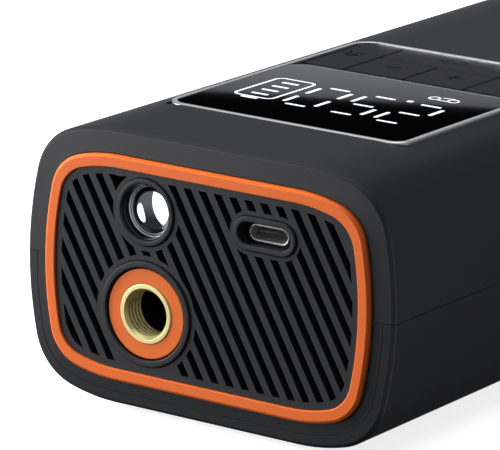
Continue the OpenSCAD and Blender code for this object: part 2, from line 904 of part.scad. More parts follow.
module main_board() {
    color(board_colour) block(
        [-cell_w / 2, battery_y0 - tray_wall, board_z],
        [cell_w / 2, battery_y0 + cell_l + tray_wall, board_z + main_board_t]
    );
    color("#202022") for (i = [0 : 2]) on_board(12 + i * (chip.x + 5), chip_y, chip);
    color("#c9a227") on_board(6, coil_y, coil);
}

module heat_sink() {
    foot = [capacitor_x - capacitor_r - layout_gap - sink_x, coil_y - layout_gap - sink_y, 1.6];
    fin = [1.4, foot.y, component_h - 1];
    pitch = 2;
    color("#c4c6c9") {
        on_board(sink_x, sink_y, foot);
        for (i = [0 : floor((foot.x - fin.x) / pitch)]) on_board(sink_x + i * pitch, sink_y, fin);
    }
}

module capacitor(i) {
    color("#16233f") translate([
        capacitor_x - cell_w / 2,
        battery_y0 + sink_y + capacitor_r + i * (2 * capacitor_r + 2),
        board_z + main_board_t
    ]) cylinder(r = capacitor_r, h = component_h);
}

// ---------------------------------------------------------------- rear end

module rear_panel() {
    back = face_y + slip;
    reach = plate_in_y - flange_t;
    color(plate_colour) difference() {
        union() {
            along(plate_in_y, back) section(ring_inner);
            along(reach, plate_in_y) section(flange_inset);
        }
        // Recess for the socket's cover and its hinge
        block(
            [socket_x - cover_w / 2 - cover_gap, face_y - 1.6, mid_z - cover_h / 2 - cover_gap],
            [socket_x + cover_w / 2 + cover_gap, face_y + 2, hinge_z + knuckle_r + cover_gap]
        );
        along(reach - 1, back + 1) stadium(socket_x, mid_z, [socket_w, socket_h]);
        along(reach - 1, back + 1) translate([usb_a_x, mid_z]) square(usb_a_size + [0.2, 0.2], center = true);
    }
    // Two ears that hold the hinge pin
    color(plate_colour) for (side = [-1, 1]) let (ear_x = socket_x + side * (cover_w / 2 - ear_w / 2)) {
        difference() {
            union() {
                block(
                    [ear_x - ear_w / 2, face_y - 1.7, hinge_z - knuckle_r],
                    [ear_x + ear_w / 2, hinge_y, hinge_z + knuckle_r]
                );
                across(ear_x - ear_w / 2, knuckle_r, ear_w);
            }
            across(socket_x - cover_w, hinge_pin_r, 2 * cover_w);
        }
    }
}

// Round bar on the cover's hinge axis
module across(x0, r, l) {
    translate([x0, hinge_y, hinge_z]) rotate([0, 90, 0]) cylinder(r = r, h = l);
}

module jump_socket() {
    outer = [socket_w + 2 * socket_wall, socket_h + 2 * socket_wall];
    front = plate_in_y - flange_t;
    color("#20407a") difference() {
        along(socket_back_y - 2, front) stadium(socket_x, mid_z, outer);
        along(socket_back_y, front + 1) stadium(socket_x, mid_z, [socket_w, socket_h]);
        for (side = [-1, 1])
            bar(socket_x + side * contact_spread, mid_z, contact_r, socket_back_y - 3, socket_back_y + 1);
    }
}

module jump_contact(side) {
    color(brass_colour) bar(
        socket_x + side * contact_spread, mid_z, contact_r,
        socket_back_y - contact_tail, socket_back_y + 7
    );
}

// Flap over the jump socket, with one long knuckle between the panel's ears
module socket_cover() {
    inner_y = face_y - 1.6 + cover_gap / 2;
    knuckle_half = cover_w / 2 - ear_w - cover_gap;
    color("#2a2b2d") difference() {
        union() {
            block(
                [socket_x - cover_w / 2, inner_y, mid_z - cover_h / 2],
                [socket_x + cover_w / 2, inner_y + cover_t, hinge_z - knuckle_r - cover_gap]
            );
            block(
                [socket_x - knuckle_half, inner_y, hinge_z - knuckle_r - cover_gap - 1],
                [socket_x + knuckle_half, hinge_y + knuckle_r, hinge_z]
            );
            across(socket_x - knuckle_half, knuckle_r, 2 * knuckle_half);
        }
        across(socket_x - cover_w, hinge_pin_r + running_fit, 2 * cover_w);
    }
}

module cover_pin() {
    color(steel_colour) across(socket_x - cover_w / 2, hinge_pin_r, cover_w);
}

module usb_a_port() {
    back = face_y - 14;
    tongue_w = 11.1;
    color(steel_colour) {
        along(back, face_y - 0.6) translate([usb_a_x, mid_z]) difference() {
            square(usb_a_size, center = true);
            square(usb_a_size - [0.6, 0.6], center = true);
        }
        along(back, back + 1.4) translate([usb_a_x, mid_z]) square(usb_a_size - [0.6, 0.6], center = true);
    }
    color("white") block(
        [usb_a_x - tongue_w / 2, back + 1.4, mid_z + 0.2],
        [usb_a_x + tongue_w / 2, face_y - 2, mid_z + 2.04]
    );
}

// ---------------------------------------------------------------- screws and feet

module shell_screw(corner) {
    color(steel_colour) translate([corner.x * screw_x, corner.y * screw_y, 0]) {
        translate([0, 0, screw_head_z - 1.8]) cylinder(r = screw_head_r, h = 1.8);
        translate([0, 0, screw_head_z - 0.5]) cylinder(r = screw_r, h = screw_l);
    }
}

module foot(corner) {
    color("#1b1b1c") translate([corner.x * foot_x, corner.y * foot_y, 0])
        cylinder(r = foot_r, h = foot_h + foot_sink);
}

upper_shell();
lower_shell();
front_ring();
rear_ring();
front_grille();
rear_panel();
lamp_barrel();
lamp_lens();
lamp_board();
usb_c_port();
usb_board();
air_nozzle();
nozzle_washer();
panel_frame();
display_glass();
display_module();
panel_board();
light_key();
minus_key();
plus_key();
mode_key();
power_key();
pump_frame();
motor_can();
motor_rotor();
motor_pinion();
cooling_fan();
gear_axle();
crank_gear();
piston_rod();
pump_cylinder();
cylinder_head();
air_hose();
pressure_sensor();
battery_tray();
for (i = [1 : 4]) cell(i - 1);
battery_strap();
main_board();
heat_sink();
for (i = [1 : 3]) capacitor(i - 1);
jump_socket();
jump_contact(-1);  // jump_contact_1
jump_contact(1);  // jump_contact_2
socket_cover();
cover_pin();
usb_a_port();
for (i = [1 : 4]) shell_screw(corners[i - 1]);
for (i = [1 : 4]) foot(corners[i - 1]);
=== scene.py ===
import json
import math
from collections import Counter
from functools import partial

import bmesh
import bpy
from mathutils import Matrix, Vector
from mathutils.geometry import delaunay_2d_cdt


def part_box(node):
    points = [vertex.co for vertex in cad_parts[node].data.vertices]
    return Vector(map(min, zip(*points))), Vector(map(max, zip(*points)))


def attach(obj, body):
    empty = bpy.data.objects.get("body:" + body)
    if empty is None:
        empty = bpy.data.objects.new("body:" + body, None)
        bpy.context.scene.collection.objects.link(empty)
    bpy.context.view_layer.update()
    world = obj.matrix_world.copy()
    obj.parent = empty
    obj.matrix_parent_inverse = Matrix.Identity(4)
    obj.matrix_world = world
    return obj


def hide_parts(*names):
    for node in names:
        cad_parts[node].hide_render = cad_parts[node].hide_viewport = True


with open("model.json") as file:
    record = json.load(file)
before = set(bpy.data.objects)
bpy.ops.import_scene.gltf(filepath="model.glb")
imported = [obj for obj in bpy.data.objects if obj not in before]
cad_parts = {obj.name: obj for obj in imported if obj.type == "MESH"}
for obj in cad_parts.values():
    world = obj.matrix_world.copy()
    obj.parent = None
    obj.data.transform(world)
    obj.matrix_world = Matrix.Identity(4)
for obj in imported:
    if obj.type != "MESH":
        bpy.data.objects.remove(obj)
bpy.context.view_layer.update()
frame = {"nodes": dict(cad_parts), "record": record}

# Lengths are in millimetres unless a comment says otherwise, and become metres in piece().
MM = 0.001


def box_mm(node):
    """Lowest and highest corner of a CAD node, in millimetres."""
    low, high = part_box(node)
    return low / MM, high / MM


def round_node(node):
    """Middle (x, z) and radius of a round CAD node that points along Y."""
    low, high = box_mm(node)
    return (low.x + high.x) / 2, (low.z + high.z) / 2, (high.x - low.x) / 2


# ---- sizes taken from the frame

shell_high = box_mm("upper_shell")[1]
HALF_W = shell_high.x
TOP_Z = shell_high.z
FACE_Y = shell_high.y
BOTTOM_Z = box_mm("lower_shell")[0].z
MID_Z = (TOP_Z + BOTTOM_Z) / 2
HALF_H = (TOP_Z - BOTTOM_Z) / 2
RING_FRONT = box_mm("front_ring")[0].y

LAMP_X, UPPER_Z, LAMP_R = round_node("lamp_barrel")
LENS_R = round_node("lamp_lens")[2]
OUTLET_X, OUTLET_Z, WASHER_R = round_node("nozzle_washer")
port_low, port_high = box_mm("usb_c_port")
PORT_X = (port_low.x + port_high.x) / 2
WASHER_FRONT = box_mm("nozzle_washer")[0].y
NOZZLE_FRONT = box_mm("air_nozzle")[0].y

panel_low, panel_high = box_mm("panel_frame")
glass_low, glass_high = box_mm("display_glass")
KEY_TOP = box_mm("light_key")[1].z

# Section of the body: large radii for the sides and the top ("brow"), and a corner whose radius shrinks by
# CORNER_FOLLOW of an inset
SIDE_R = 74.0
CORNER_R = 12.0
CORNER_FOLLOW = 0.7
BROW_R = 38.0
BROW_ANGLE = 73.8
WALL = 2.4
SEAM = 0.12

# Insets from the body's outline at the end face: the ring, the grille's flange and the slots' border
RING_OUTER = 4.9
RING_INNER = 7.3
FLANGE_INSET = 4.4
FLANGE_T = 1.6
SLOT_INSET = 8.7

# The grille's plate and its slots
PLATE_Y = -FACE_Y - 0.55
SLOT_W = 1.55
SLOT_PITCH = 3.0
SLOT_FIRST = -0.48
SLOT_LEAN = math.radians(30)
SLOTS_EACH_WAY = 14

# Raised collars: radii at the air outlet and (width, height) at the charging port. A land is the area
# without slots round a collar.
COLLAR_RISE = 0.45
LAMP_COLLAR_W = 1.1
LAMP_LAND_W = 2.1
OUTLET_LAND_R = 11.45
OUTLET_COLLAR_R = 10.4
OUTLET_SEAT_R = 9.07
OUTLET_SEAT_DEPTH = 0.8
PORT_LAND = (15.8, 8.5)
PORT_COLLAR = (14.2, 6.7)
PORT_OPEN = (11.8, 4.3)

# Sides of the round shapes: small, middle and large
FEW, SOME, MANY = 24, 40, 96

SCREWS = range(1, 5)


# ---- outlines and paths

def arc(cx, cy, radius, start, end, steps):
    """Points of an arc as (centre x, centre y, radius, angle in degrees)."""
    return [(cx, cy, radius, start + (end - start) * i / steps) for i in range(steps + 1)]


def drawn(outline, inset=0.0):
    """The outline's points, drawn in by inset along every radius. An outline whose shape changes with the
    inset is a function."""
    if callable(outline):
        return outline(inset)
    points = []
    for cx, cy, radius, angle in outline:
        t = math.radians(angle)
        points.append((cx + (radius - inset) * math.cos(t), cy + (radius - inset) * math.sin(t)))
    return points


def quarter(inset):
    """Section from the middle of the right side to the top."""
    side, brow = SIDE_R - inset, BROW_R - inset
    corner = CORNER_R - CORNER_FOLLOW * inset
    lean = math.radians(BROW_ANGLE)
    side_x = HALF_W - SIDE_R
    tilt = math.asin((HALF_H - inset - brow - (corner - brow) * math.sin(lean)) / (side - corner))
    corner_x = side_x + (side - corner) * math.cos(tilt)
    corner_z = (side - corner) * math.sin(tilt)
    brow_x = corner_x + (corner - brow) * math.cos(lean)
    brow_z = corner_z + (corner - brow) * math.sin(lean)
    tilt = math.degrees(tilt)
    hold = 0.5  # a point this far past the last arc keeps the flat top's shading flat
    return drawn(
        arc(side_x, 0, side, 0, tilt, 14)
        + arc(corner_x, corner_z, corner, tilt, BROW_ANGLE, 18)[1:]
        + arc(brow_x, brow_z, brow, BROW_ANGLE, 90, 6)[1:]
        + [(brow_x - hold, brow_z, brow, 90)]
    )


def half_section(inset, upper, lift=0.0):
    """Upper or lower half of the body's section, anticlockwise. lift moves its ends off the middle."""
    right = quarter(inset)
    right[0] = (right[0][0], lift)
    sign = 1 if upper else -1
    points = right + [(-x, z) for x, z in reversed(right)]
    if not upper:
        points.reverse()
    return [(x, MID_Z + sign * z) for x, z in points]


def body(inset):
    """The whole section, anticlockwise from the middle of the right side."""
    return half_section(inset, True) + half_section(inset, False)[1:-1]


def circle(x, y, radius, steps=64):
    """Circle as arc points, so that drawn() can draw it in."""
    return [(x, y, radius, 360 * i / steps) for i in range(steps)]


def stadium(x, y, width, height, steps=16):
    """Rectangle with round ends."""
    reach = (width - height) / 2
    right = arc(x + reach, y, height / 2, -90, 90, steps)
    left = arc(x - reach, y, height / 2, 90, 270, steps)
    return right + left


def round_box(low, high, radii, steps=8):
    """Rectangle with rounded corners, radii from the low right corner anticlockwise."""
    r1, r2, r3, r4 = radii
    return (
        arc(high[0] - r1, low[1] + r1, r1, -90, 0, steps)
        + arc(high[0] - r2, high[1] - r2, r2, 0, 90, steps)
        + arc(low[0] + r3, high[1] - r3, r3, 90, 180, steps)
        + arc(low[0] + r4, low[1] + r4, r4, 180, 270, steps)
    )


def rounded(corners, closed=False, steps=4, hold=0.03):
    """Path through corners (x, y, radius). A point hold before and after each arc keeps the shading of
    the flats flat."""
    path = []
    last = len(corners) - 1
    for i, (x, y, radius) in enumerate(corners):
        here = Vector((x, y))
        if radius == 0 or (not closed and i in (0, last)):
            path.append(here)
            continue
        before = Vector(corners[i - 1][:2])
        after = Vector(corners[(i + 1) % len(corners)][:2])
        into = (here - before).normalized()
        out = (after - here).normalized()
        turn = into.angle(out)
        back = radius * math.tan(turn / 2)
        side = (out - into * into.dot(out)).normalized()
        start = here - into * back
        centre = start + side * radius
        path.append(start - into * hold)
        for k in range(steps + 1):
            a = turn * k / steps
            path.append(centre - side * (radius * math.cos(a)) + into * (radius * math.sin(a)))
        path.append(here + out * (back + hold))
    return path


def on_front(u, v, depth):
    """Outline in X and Z, depth along Y."""
    return Vector((u, depth, v))


def on_rear(u, v, depth):
    """The same at the other end of the body."""
    return Vector((u, -depth, v))


def on_top(u, v, depth):
    """Outline in X and Y, depth is the height."""
    return Vector((u, v, depth))


# ---- mesh building

def skin(bm, rings, closed=True, closed_path=False):
    """Quads between rings of points that have the same number of points."""
    made = [[bm.verts.new(p) for p in ring] for ring in rings]
    count = len(made[0])
    pairs = list(zip(made, made[1:]))
    if closed_path:
        pairs.append((made[-1], made[0]))
    for a, b in pairs:
        for i in range(count if closed else count - 1):
            j = (i + 1) % count
            bm.faces.new((a[i], a[j], b[j], b[i])).smooth = True
    return made


def sweep(bm, outline, path, place, closed=True, closed_path=False, caps=""):
    """Sweeps a path of (inset, depth) round an outline. caps names the flat ends it has: start, end."""
    rings = [[place(u, v, depth) for u, v in drawn(outline, inset)] for inset, depth in path]
    made = skin(bm, rings, closed, closed_path)
    if "start" in caps:
        bm.faces.new(made[0])
    if "end" in caps:
        bm.faces.new(made[-1])
    if not closed:
        bm.faces.new([ring[0] for ring in made])
        bm.faces.new([ring[-1] for ring in made])
    return made


def inside(point, loops):
    """Even-odd test of a point against closed loops of points."""
    x, y = point
    odd = False
    for loop in loops:
        for (x1, y1), (x2, y2) in zip(loop, loop[1:] + loop[:1]):
            if (y1 > y) != (y2 > y) and x < x1 + (y - y1) * (x2 - x1) / (y2 - y1):
                odd = not odd
    return odd


def planned(loops, keep):
    """Points and triangles of the area that loops divide, with the triangles whose middle passes keep."""
    merge = 1e-5
    points = [Vector(p) for loop in loops for p in loop]
    edges, first = [], 0
    for loop in loops:
        edges += [(first + i, first + (i + 1) % len(loop)) for i in range(len(loop))]
        first += len(loop)
    found, _, faces, *_ = delaunay_2d_cdt(points, edges, [], 0, merge)
    kept = [f for f in faces if keep(sum((found[i] for i in f), Vector((0, 0))) / len(f))]
    return found, kept


def flat(bm, loops, place, depth):
    """Fills the area between loops at one depth."""
    points, faces = planned(loops, lambda middle: inside(middle, loops))
    verts = {}
    for face in faces:
        for i in face:
            if i not in verts:
                verts[i] = bm.verts.new(place(points[i].x, points[i].y, depth))
        bm.faces.new([verts[i] for i in face])


def slab(bm, loops, place, near, far):
    """A flat plate between two depths, with the loops' shape."""
    for depth in (near, far):
        flat(bm, loops, place, depth)
    for loop in loops:
        skin(bm, [[place(u, v, near) for u, v in loop], [place(u, v, far) for u, v in loop]])


def profiled(outline, corners, place, closed=True):
    """A closed path through corners, swept round an outline, as a new bmesh."""
    bm = bmesh.new()
    sweep(bm, outline, rounded(corners, closed=True), place, closed, closed_path=True)
    return bm


def joined(bm, gap=2e-4):
    """Welds points closer than gap and turns all faces outward."""
    bmesh.ops.remove_doubles(bm, verts=bm.verts, dist=gap)
    bmesh.ops.recalc_face_normals(bm, faces=bm.faces)


def new_object(name, data):
    """New object in the scene."""
    obj = bpy.data.objects.new(name, data)
    bpy.context.scene.collection.objects.link(obj)
    return obj


def mesh_object(name, bm):
    """New object in the scene, with the mesh that a bmesh holds."""
    mesh = bpy.data.meshes.new(name)
    bm.to_mesh(mesh)
    bm.free()
    return new_object(name, mesh)


def piece(bm, name, slot, replaces=(), material=None, body="housing", sharp=32):
    """Makes a bmesh in millimetres a piece on a body, in its slot's material if none is given."""
    joined(bm)
    obj = mesh_object(name, bm)
    obj.data.transform(Matrix.Scale(MM, 4))
    obj.data.set_sharp_from_angle(angle=math.radians(sharp))
    obj.data.materials.append(material or FINISH[slot])
    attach(obj, body)
    if replaces:
        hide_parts(*replaces)


def scratch(bm):
    """A helper object in millimetres for a boolean."""
    joined(bm)
    return mesh_object("scratch", bm)


def carved(solid, tools):
    """The solid after booleans with (operation, bmesh) tools, as a new bmesh."""
    target = scratch(solid)
    for operation, tool in tools:
        modifier = target.modifiers.new("cut", "BOOLEAN")
        modifier.operation = operation
        modifier.solver = "EXACT"
        modifier.object = scratch(tool)
    bpy.context.view_layer.update()
    graph = bpy.context.evaluated_depsgraph_get()
    result = bmesh.new()
    result.from_mesh(target.evaluated_get(graph).to_mesh())
    for helper in [modifier.object for modifier in target.modifiers] + [target]:
        bpy.data.objects.remove(helper)
    return result


def swept(outline, path, place, caps="start end"):
    """A path of (inset, depth) swept round an outline, as a new bmesh."""
    bm = bmesh.new()
    sweep(bm, outline, path, place, caps=caps)
    return bm


def prism(outline, place, near, far):
    """Straight solid between two depths, as a new bmesh."""
    return swept(outline, [(0, near), (0, far)], place)


# ---- materials

def new_node(tree, kind, **values):
    """New shader node with values for its inputs."""
    made = tree.nodes.new("ShaderNode" + kind)
    set_inputs(made, **values)
    return made


def set_inputs(node, **values):
    """Sets inputs of a shader node by name. An underscore stands for a blank in the name."""
    for name, value in values.items():
        node.inputs[name.replace("_", " ")].default_value = value


def wire(source, output, target, entry):
    """Links an output of one shader node to an input of another."""
    source.id_data.links.new(source.outputs[output], target.inputs[entry])


def noise(mapping, scale, detail):
    """Noise texture over a piece's own coordinates."""
    texture = new_node(mapping.id_data, "TexNoise", Scale=scale, Detail=detail)
    wire(mapping, "Vector", texture, "Vector")
    return texture


def ramp_along(tree, kind, output, axis, **values):
    """A node whose value changes evenly along one axis of what another kind of node gives."""
    parts = new_node(tree, "SeparateXYZ")
    wire(new_node(tree, kind), output, parts, "Vector")
    ramp = new_node(tree, "MapRange", **values)
    wire(parts, axis, ramp, "Value")
    return ramp


def surface(name, colour, roughness, grain=0.3, bump=0.0, metallic=0.0, mottle=0.06, patch=40,
            stretch=(1, 1, 1), glow=0.0, gloss=0.5):
    """Moulded, cast or rolled finish: fine grain as bump and roughness, and a faint uneven tone. grain is
    the size of a grain and bump its height, in millimetres. mottle is the share by which the tone changes,
    patch the number of its patches in a metre, and stretch draws both out."""
    material = bpy.data.materials.new(name)
    material.use_nodes = True
    tree = material.node_tree
    shader = tree.nodes["Principled BSDF"]
    set_inputs(shader, Metallic=metallic, Specular_IOR_Level=gloss)
    if glow:
        set_inputs(shader, Emission_Color=(*colour, 1), Emission_Strength=glow)
    mapping = new_node(tree, "Mapping", Scale=stretch)
    wire(new_node(tree, "TexCoord"), "Object", mapping, "Vector")
    tone = new_node(tree, "Mix")
    tone.data_type = "RGBA"
    darker, lighter = [c * (1 - mottle) for c in colour], [min(1, c * (1 + mottle)) for c in colour]
    set_inputs(tone, A=(*darker, 1), B=(*lighter, 1))
    wire(noise(mapping, patch, 3), "Fac", tone, "Factor")
    wire(tone, "Result", shader, "Base Color")
    fine = noise(mapping, 1 / (grain * MM), 2)
    spread = new_node(tree, "MapRange", To_Min=roughness * 0.88, To_Max=min(1.0, roughness * 1.12))
    wire(fine, "Fac", spread, "Value")
    wire(spread, "Result", shader, "Roughness")
    if bump:
        relief = new_node(tree, "Bump", Strength=1, Distance=bump * MM)
        wire(fine, "Fac", relief, "Height")
        wire(relief, "Normal", shader, "Normal")
    return material


# Material of each slot. The numbers after a colour are its roughness, grain and bump.
FINISH = {
    "shell": surface("shell_plastic", (0.0172, 0.0178, 0.0208), 0.46, 0.22, 0.006, mottle=0.05, gloss=0.25),
    "grille": surface("grille_plastic", (0.0215, 0.0222, 0.0262), 0.5, 0.2, 0.006, mottle=0.05, gloss=0.25),
    "accent": surface("orange_plastic", (0.83, 0.155, 0.022), 0.5, 0.3, 0.003, mottle=0.03, gloss=0.3),
    "washer": surface("orange_rubber", (0.82, 0.16, 0.024), 0.55, 0.12, 0.004, mottle=0.04, gloss=0.3),
    "barrel": surface("black_gloss", (0.006, 0.006, 0.007), 0.12, 0.6, mottle=0.05),
    "lens": surface("lamp_glass", (0.5, 0.51, 0.53), 0.05, 1.0, metallic=1, mottle=0.02),
    "port_metal": surface(
        "port_nickel", (0.74, 0.74, 0.75), 0.3, 0.08, 0.002, metallic=0.45, stretch=(1, 8, 1)),
    "brass": surface(
        "pale_brass", (0.86, 0.74, 0.34), 0.4, 0.06, 0.0015, metallic=0.8, stretch=(1, 6, 1), mottle=0.05),
    "frame_silver": surface(
        "bright_trim", (0.85, 0.85, 0.87), 0.3, 0.07, 0.001, metallic=1, stretch=(6, 1, 1), mottle=0.04),
    "screen": surface("black_window", (0.0006, 0.0006, 0.0008), 0.02, 0.8, mottle=0.1),
    "key": surface("key_rubber", (0.0105, 0.0108, 0.0135), 0.5, 0.2, 0.006, mottle=0.04, gloss=0.25),
    "cover": surface("black_rubber", (0.013, 0.013, 0.014), 0.7, 0.3, 0.01, mottle=0.12),
    "dark_plastic": surface("dark_nylon", (0.022, 0.022, 0.024), 0.55, 0.25, 0.006, mottle=0.08),
    "steel": surface(
        "rolled_steel", (0.52, 0.52, 0.53), 0.33, 0.12, 0.002, metallic=1, stretch=(1, 5, 1), mottle=0.06),
    "alloy": surface("cast_alloy", (0.56, 0.57, 0.59), 0.42, 0.35, 0.008, metallic=1, mottle=0.1),
    "rotor": surface(
        "copper_and_core", (0.42, 0.2, 0.1), 0.36, 0.3, 0.01, metallic=1, stretch=(1, 1, 6), mottle=0.25,
        patch=300),
    "gear": surface("acetal", (0.66, 0.63, 0.56), 0.4, 0.3, 0.002, mottle=0.04),
    "board": surface("circuit_board", (0.012, 0.09, 0.045), 0.35, 0.5, 0.004, mottle=0.3, patch=500),
    "hose": surface("air_hose_rubber", (0.014, 0.014, 0.014), 0.6, 0.35, 0.01),
    "sensor": surface("sensor_plastic", (0.6, 0.57, 0.5), 0.45, 0.25, 0.003),
    "pouch": surface("foil_pouch", (0.5, 0.51, 0.53), 0.38, 1.2, 0.02, metallic=0.7, mottle=0.1),
    "strap": surface("woven_strap", (0.03, 0.09, 0.24), 0.8, 0.5, 0.03, stretch=(1, 4, 1), mottle=0.2),
    "capacitor": surface("capacitor_sleeve", (0.02, 0.03, 0.09), 0.3, 0.3, 0.002),
    "socket": surface("socket_plastic", (0.012, 0.04, 0.16), 0.42, 0.3, 0.005),
    "foot": surface("foot_rubber", (0.011, 0.011, 0.011), 0.78, 0.25, 0.012, mottle=0.15),
}
FINISH["display"] = FINISH["dark_plastic"]

# Finishes that differ from the slot's
# Near-black painted shade for the grille's slot walls and the far end of the fitting's bore
PAINTED_SHADE = surface("painted_shade", (0.0015, 0.0015, 0.0016), 0.9)
# Darker brass painted into the thread's roots as shade
PAINTED_ROOT_SHADE = surface("thread_root", (0.10, 0.075, 0.03), 0.5, 0.06, 0.0015, metallic=0.6)
LIT = surface("lit_segment", (0.72, 0.73, 0.82), 0.5, glow=0.55, mottle=0.02)
ICON = surface("key_print", (0.0015, 0.0015, 0.0018), 0.42, 0.2, 0.002, gloss=0.04)
BLACK_STEEL = surface("black_screw_steel", (0.05, 0.05, 0.055), 0.35, 0.2, 0.003, metallic=1)


def dress_cad_nodes():
    """Gives every carried-over CAD node the material of its slot."""
    crisp = math.radians(30)
    for part in frame["record"]["subparts"]:
        obj = frame["nodes"][part["node"]]
        obj.data.materials.clear()
        obj.data.materials.append(FINISH[part["material_slot"]])
        obj.data.set_sharp_from_angle(angle=crisp)
    for i in SCREWS:
        frame["nodes"][f"shell_screw_{i}"].data.materials[0] = BLACK_STEEL


def ease_edges(node, width):
    """Softens the crisp edges of a CAD node that shows from outside."""
    same_point, same_plane, crisp = 1e-6, math.radians(1), math.radians(40)
    obj = frame["nodes"][node]
    weld = obj.modifiers.new("weld", "WELD")
    weld.merge_threshold = same_point
    plane = obj.modifiers.new("plane", "DECIMATE")
    plane.decimate_type = "DISSOLVE"
    plane.angle_limit = same_plane
    bevel = obj.modifiers.new("bevel", "BEVEL")
    bevel.width = width * MM
    bevel.segments = 2
    bevel.limit_method = "ANGLE"
    bevel.angle_limit = crisp
    bevel.harden_normals = True


# ---- housing

CHAMFER = 0.65
CHAMFER_R = 0.2
CROWN = 0.2

# The opening in the bezel, inside which the ring lies, and the bezel's thickness there
THROAT = RING_OUTER - 0.1
THROAT_R = 0.12
LIP_T = 1.4

# Half the gap between the lower bezel and the lower shell, and the radius of its edges
FIT_GAP = 0.03
FIT_R = 0.06

# Posts, wells and holes of the shell screws, and the seats of the feet
POST_R, POST_TOP, POST_SINK = 4.2, 13, 0.8
WELL_R, WELL_TOP = 3.0, 5
HOLE_R, HOLE_LOW, HOLE_TOP = 1.6, 4, 14
FOOT_SEAT_R, FOOT_SEAT_DEPTH = 5.15, 0.8


def crowned(inset):
    """Distance of the end face from the middle of the length. It falls back from the ring to its edge."""
    return FACE_Y - CROWN * (THROAT - inset) / THROAT


def underside(x):
    """Height of the housing's outer surface under a point at x."""
    points = sorted(half_section(0, False))
    for (x0, z0), (x1, z1) in zip(points, points[1:]):
        if x0 <= x <= x1 and x1 > x0:
            return z0 + (z1 - z0) * (x - x0) / (x1 - x0)
    return MID_Z


# Halves above and below the seam, and the lower half without the seam's gap
upper_half = partial(half_section, upper=True, lift=SEAM / 2)
lower_half = partial(half_section, upper=False, lift=SEAM / 2)
lower_fill = partial(half_section, upper=False)


def end_corners():
    """The chamfered corner between the side and the rear face, from the side inward."""
    edge = crowned(CHAMFER)
    return [(0, edge - CHAMFER, CHAMFER_R), (CHAMFER, edge, CHAMFER_R)]


def end_opening():
    """The opening in the rear face and the flange behind it, from outside inward."""
    lip, back = FACE_Y - LIP_T, FACE_Y - WALL
    return [
        (THROAT, FACE_Y, THROAT_R), (THROAT, lip, 0), (FLANGE_INSET, lip, 0), (FLANGE_INSET, back, 0),
        (WALL, back, 0),
    ]


def both_ends(rear):
    """Path of a shell's wall from the middle of its side, with the same corners at both ends."""
    return [(0, 0, 0), *rear, *((inset, -y, radius) for inset, y, radius in reversed(rear))]


def upper_shell():
    """Upper half shell with the top half of both bezels, and a pocket for the control panel."""
    bm = profiled(upper_half, both_ends(end_corners() + end_opening()), on_front, closed=False)
    over = 1
    pocket = prism(PANEL_POCKET, on_top, PANEL_SEAT_Z, TOP_Z + over)
    windows = prism(PANEL_WINDOW, on_top, TOP_Z - WALL - over, TOP_Z)
    bm = carved(bm, [("DIFFERENCE", pocket), ("DIFFERENCE", windows)])
    piece(bm, "housing_top", "shell", ["upper_shell"])
    for name, place in (("front_bezel_lower", on_front), ("rear_bezel_lower", on_rear)):
        lower_bezel(name, place)


def lower_bezel(name, place):
    """The lower half of a bezel, which the lower shell wraps round."""
    near, far = -FACE_Y, WALL - FACE_Y
    outside = WALL + FIT_GAP
    corners = [
        (THROAT, near + LIP_T, 0), (THROAT, near, THROAT_R), (outside, -crowned(WALL), FIT_R),
        (outside, far, 0), (FLANGE_INSET, far, 0), (FLANGE_INSET, near + LIP_T, 0),
    ]
    piece(profiled(lower_fill, corners, place, closed=False), name, "shell")


def screw_post(x, y):
    """Post round a screw's well, from inside the wall up."""
    bm = bmesh.new()
    rim = drawn(circle(x, y, POST_R, SOME))
    low = [on_top(u, v, underside(u) + POST_SINK) for u, v in rim]
    high = [on_top(u, v, POST_TOP) for u, v in rim]
    rings = skin(bm, [low, high])
    for ring in rings:
        bm.faces.new(ring)
    return bm


def drilled(middle, radius, steps, low, high):
    """A round hole from below, as a tool for carved()."""
    return "DIFFERENCE", prism(circle(middle.x, middle.y, radius, steps), on_top, low, high)


def middle_of(node):
    """Middle of a CAD node's box."""
    low, high = box_mm(node)
    return (low + high) / 2


def lower_shell():
    """Lower half shell, with the wells for the screws and the seats for the feet."""
    lip = (WALL - FIT_GAP, crowned(WALL), FIT_R)
    bm = profiled(lower_half, both_ends(end_corners() + [lip]), on_front, closed=False)
    under, seat_z = BOTTOM_Z - 1, BOTTOM_Z + FOOT_SEAT_DEPTH
    tools = []
    for i in SCREWS:
        screw = middle_of(f"shell_screw_{i}")
        foot = middle_of(f"foot_{i}")
        tools.append(("UNION", screw_post(screw.x, screw.y)))
        tools.append(drilled(screw, WELL_R, SOME, under, WELL_TOP))
        tools.append(drilled(screw, HOLE_R, FEW, HOLE_LOW, HOLE_TOP))
        tools.append(drilled(foot, FOOT_SEAT_R, 2 * FEW, under, seat_z))
    bm = carved(bm, tools)
    piece(bm, "housing_bottom", "shell", ["lower_shell"])


def end_ring(name, place, node):
    """Raised ring round an end face, with a chamfer outside and small radii."""
    root = -FACE_Y + 1.2
    slope, slope_drop, slope_r, front_r = 0.48, 0.42, 0.12, 0.2
    corners = [
        (RING_OUTER, root, 0), (RING_OUTER, RING_FRONT + slope_drop, slope_r),
        (RING_OUTER + slope, RING_FRONT, front_r), (RING_INNER, RING_FRONT, front_r), (RING_INNER, root, 0),
    ]
    piece(profiled(body, corners, place), name, "accent", [node])


# ---- front grille

def stripes():
    """The leaning stripes that the slots follow, as loops in X and Z."""
    reach, half_w = 2 * HALF_W, SLOT_W / 2
    across = Vector((math.cos(SLOT_LEAN), math.sin(SLOT_LEAN)))
    along = Vector((-across.y, across.x))
    loops = []
    for k in range(-SLOTS_EACH_WAY, SLOTS_EACH_WAY + 1):
        middle = across * (SLOT_FIRST + k * SLOT_PITCH) + Vector((0, MID_Z))
        corners = [(-1, -1), (1, -1), (1, 1), (-1, 1)]
        loops.append([tuple(middle + across * (a * half_w) + along * (b * reach)) for a, b in corners])
    return loops


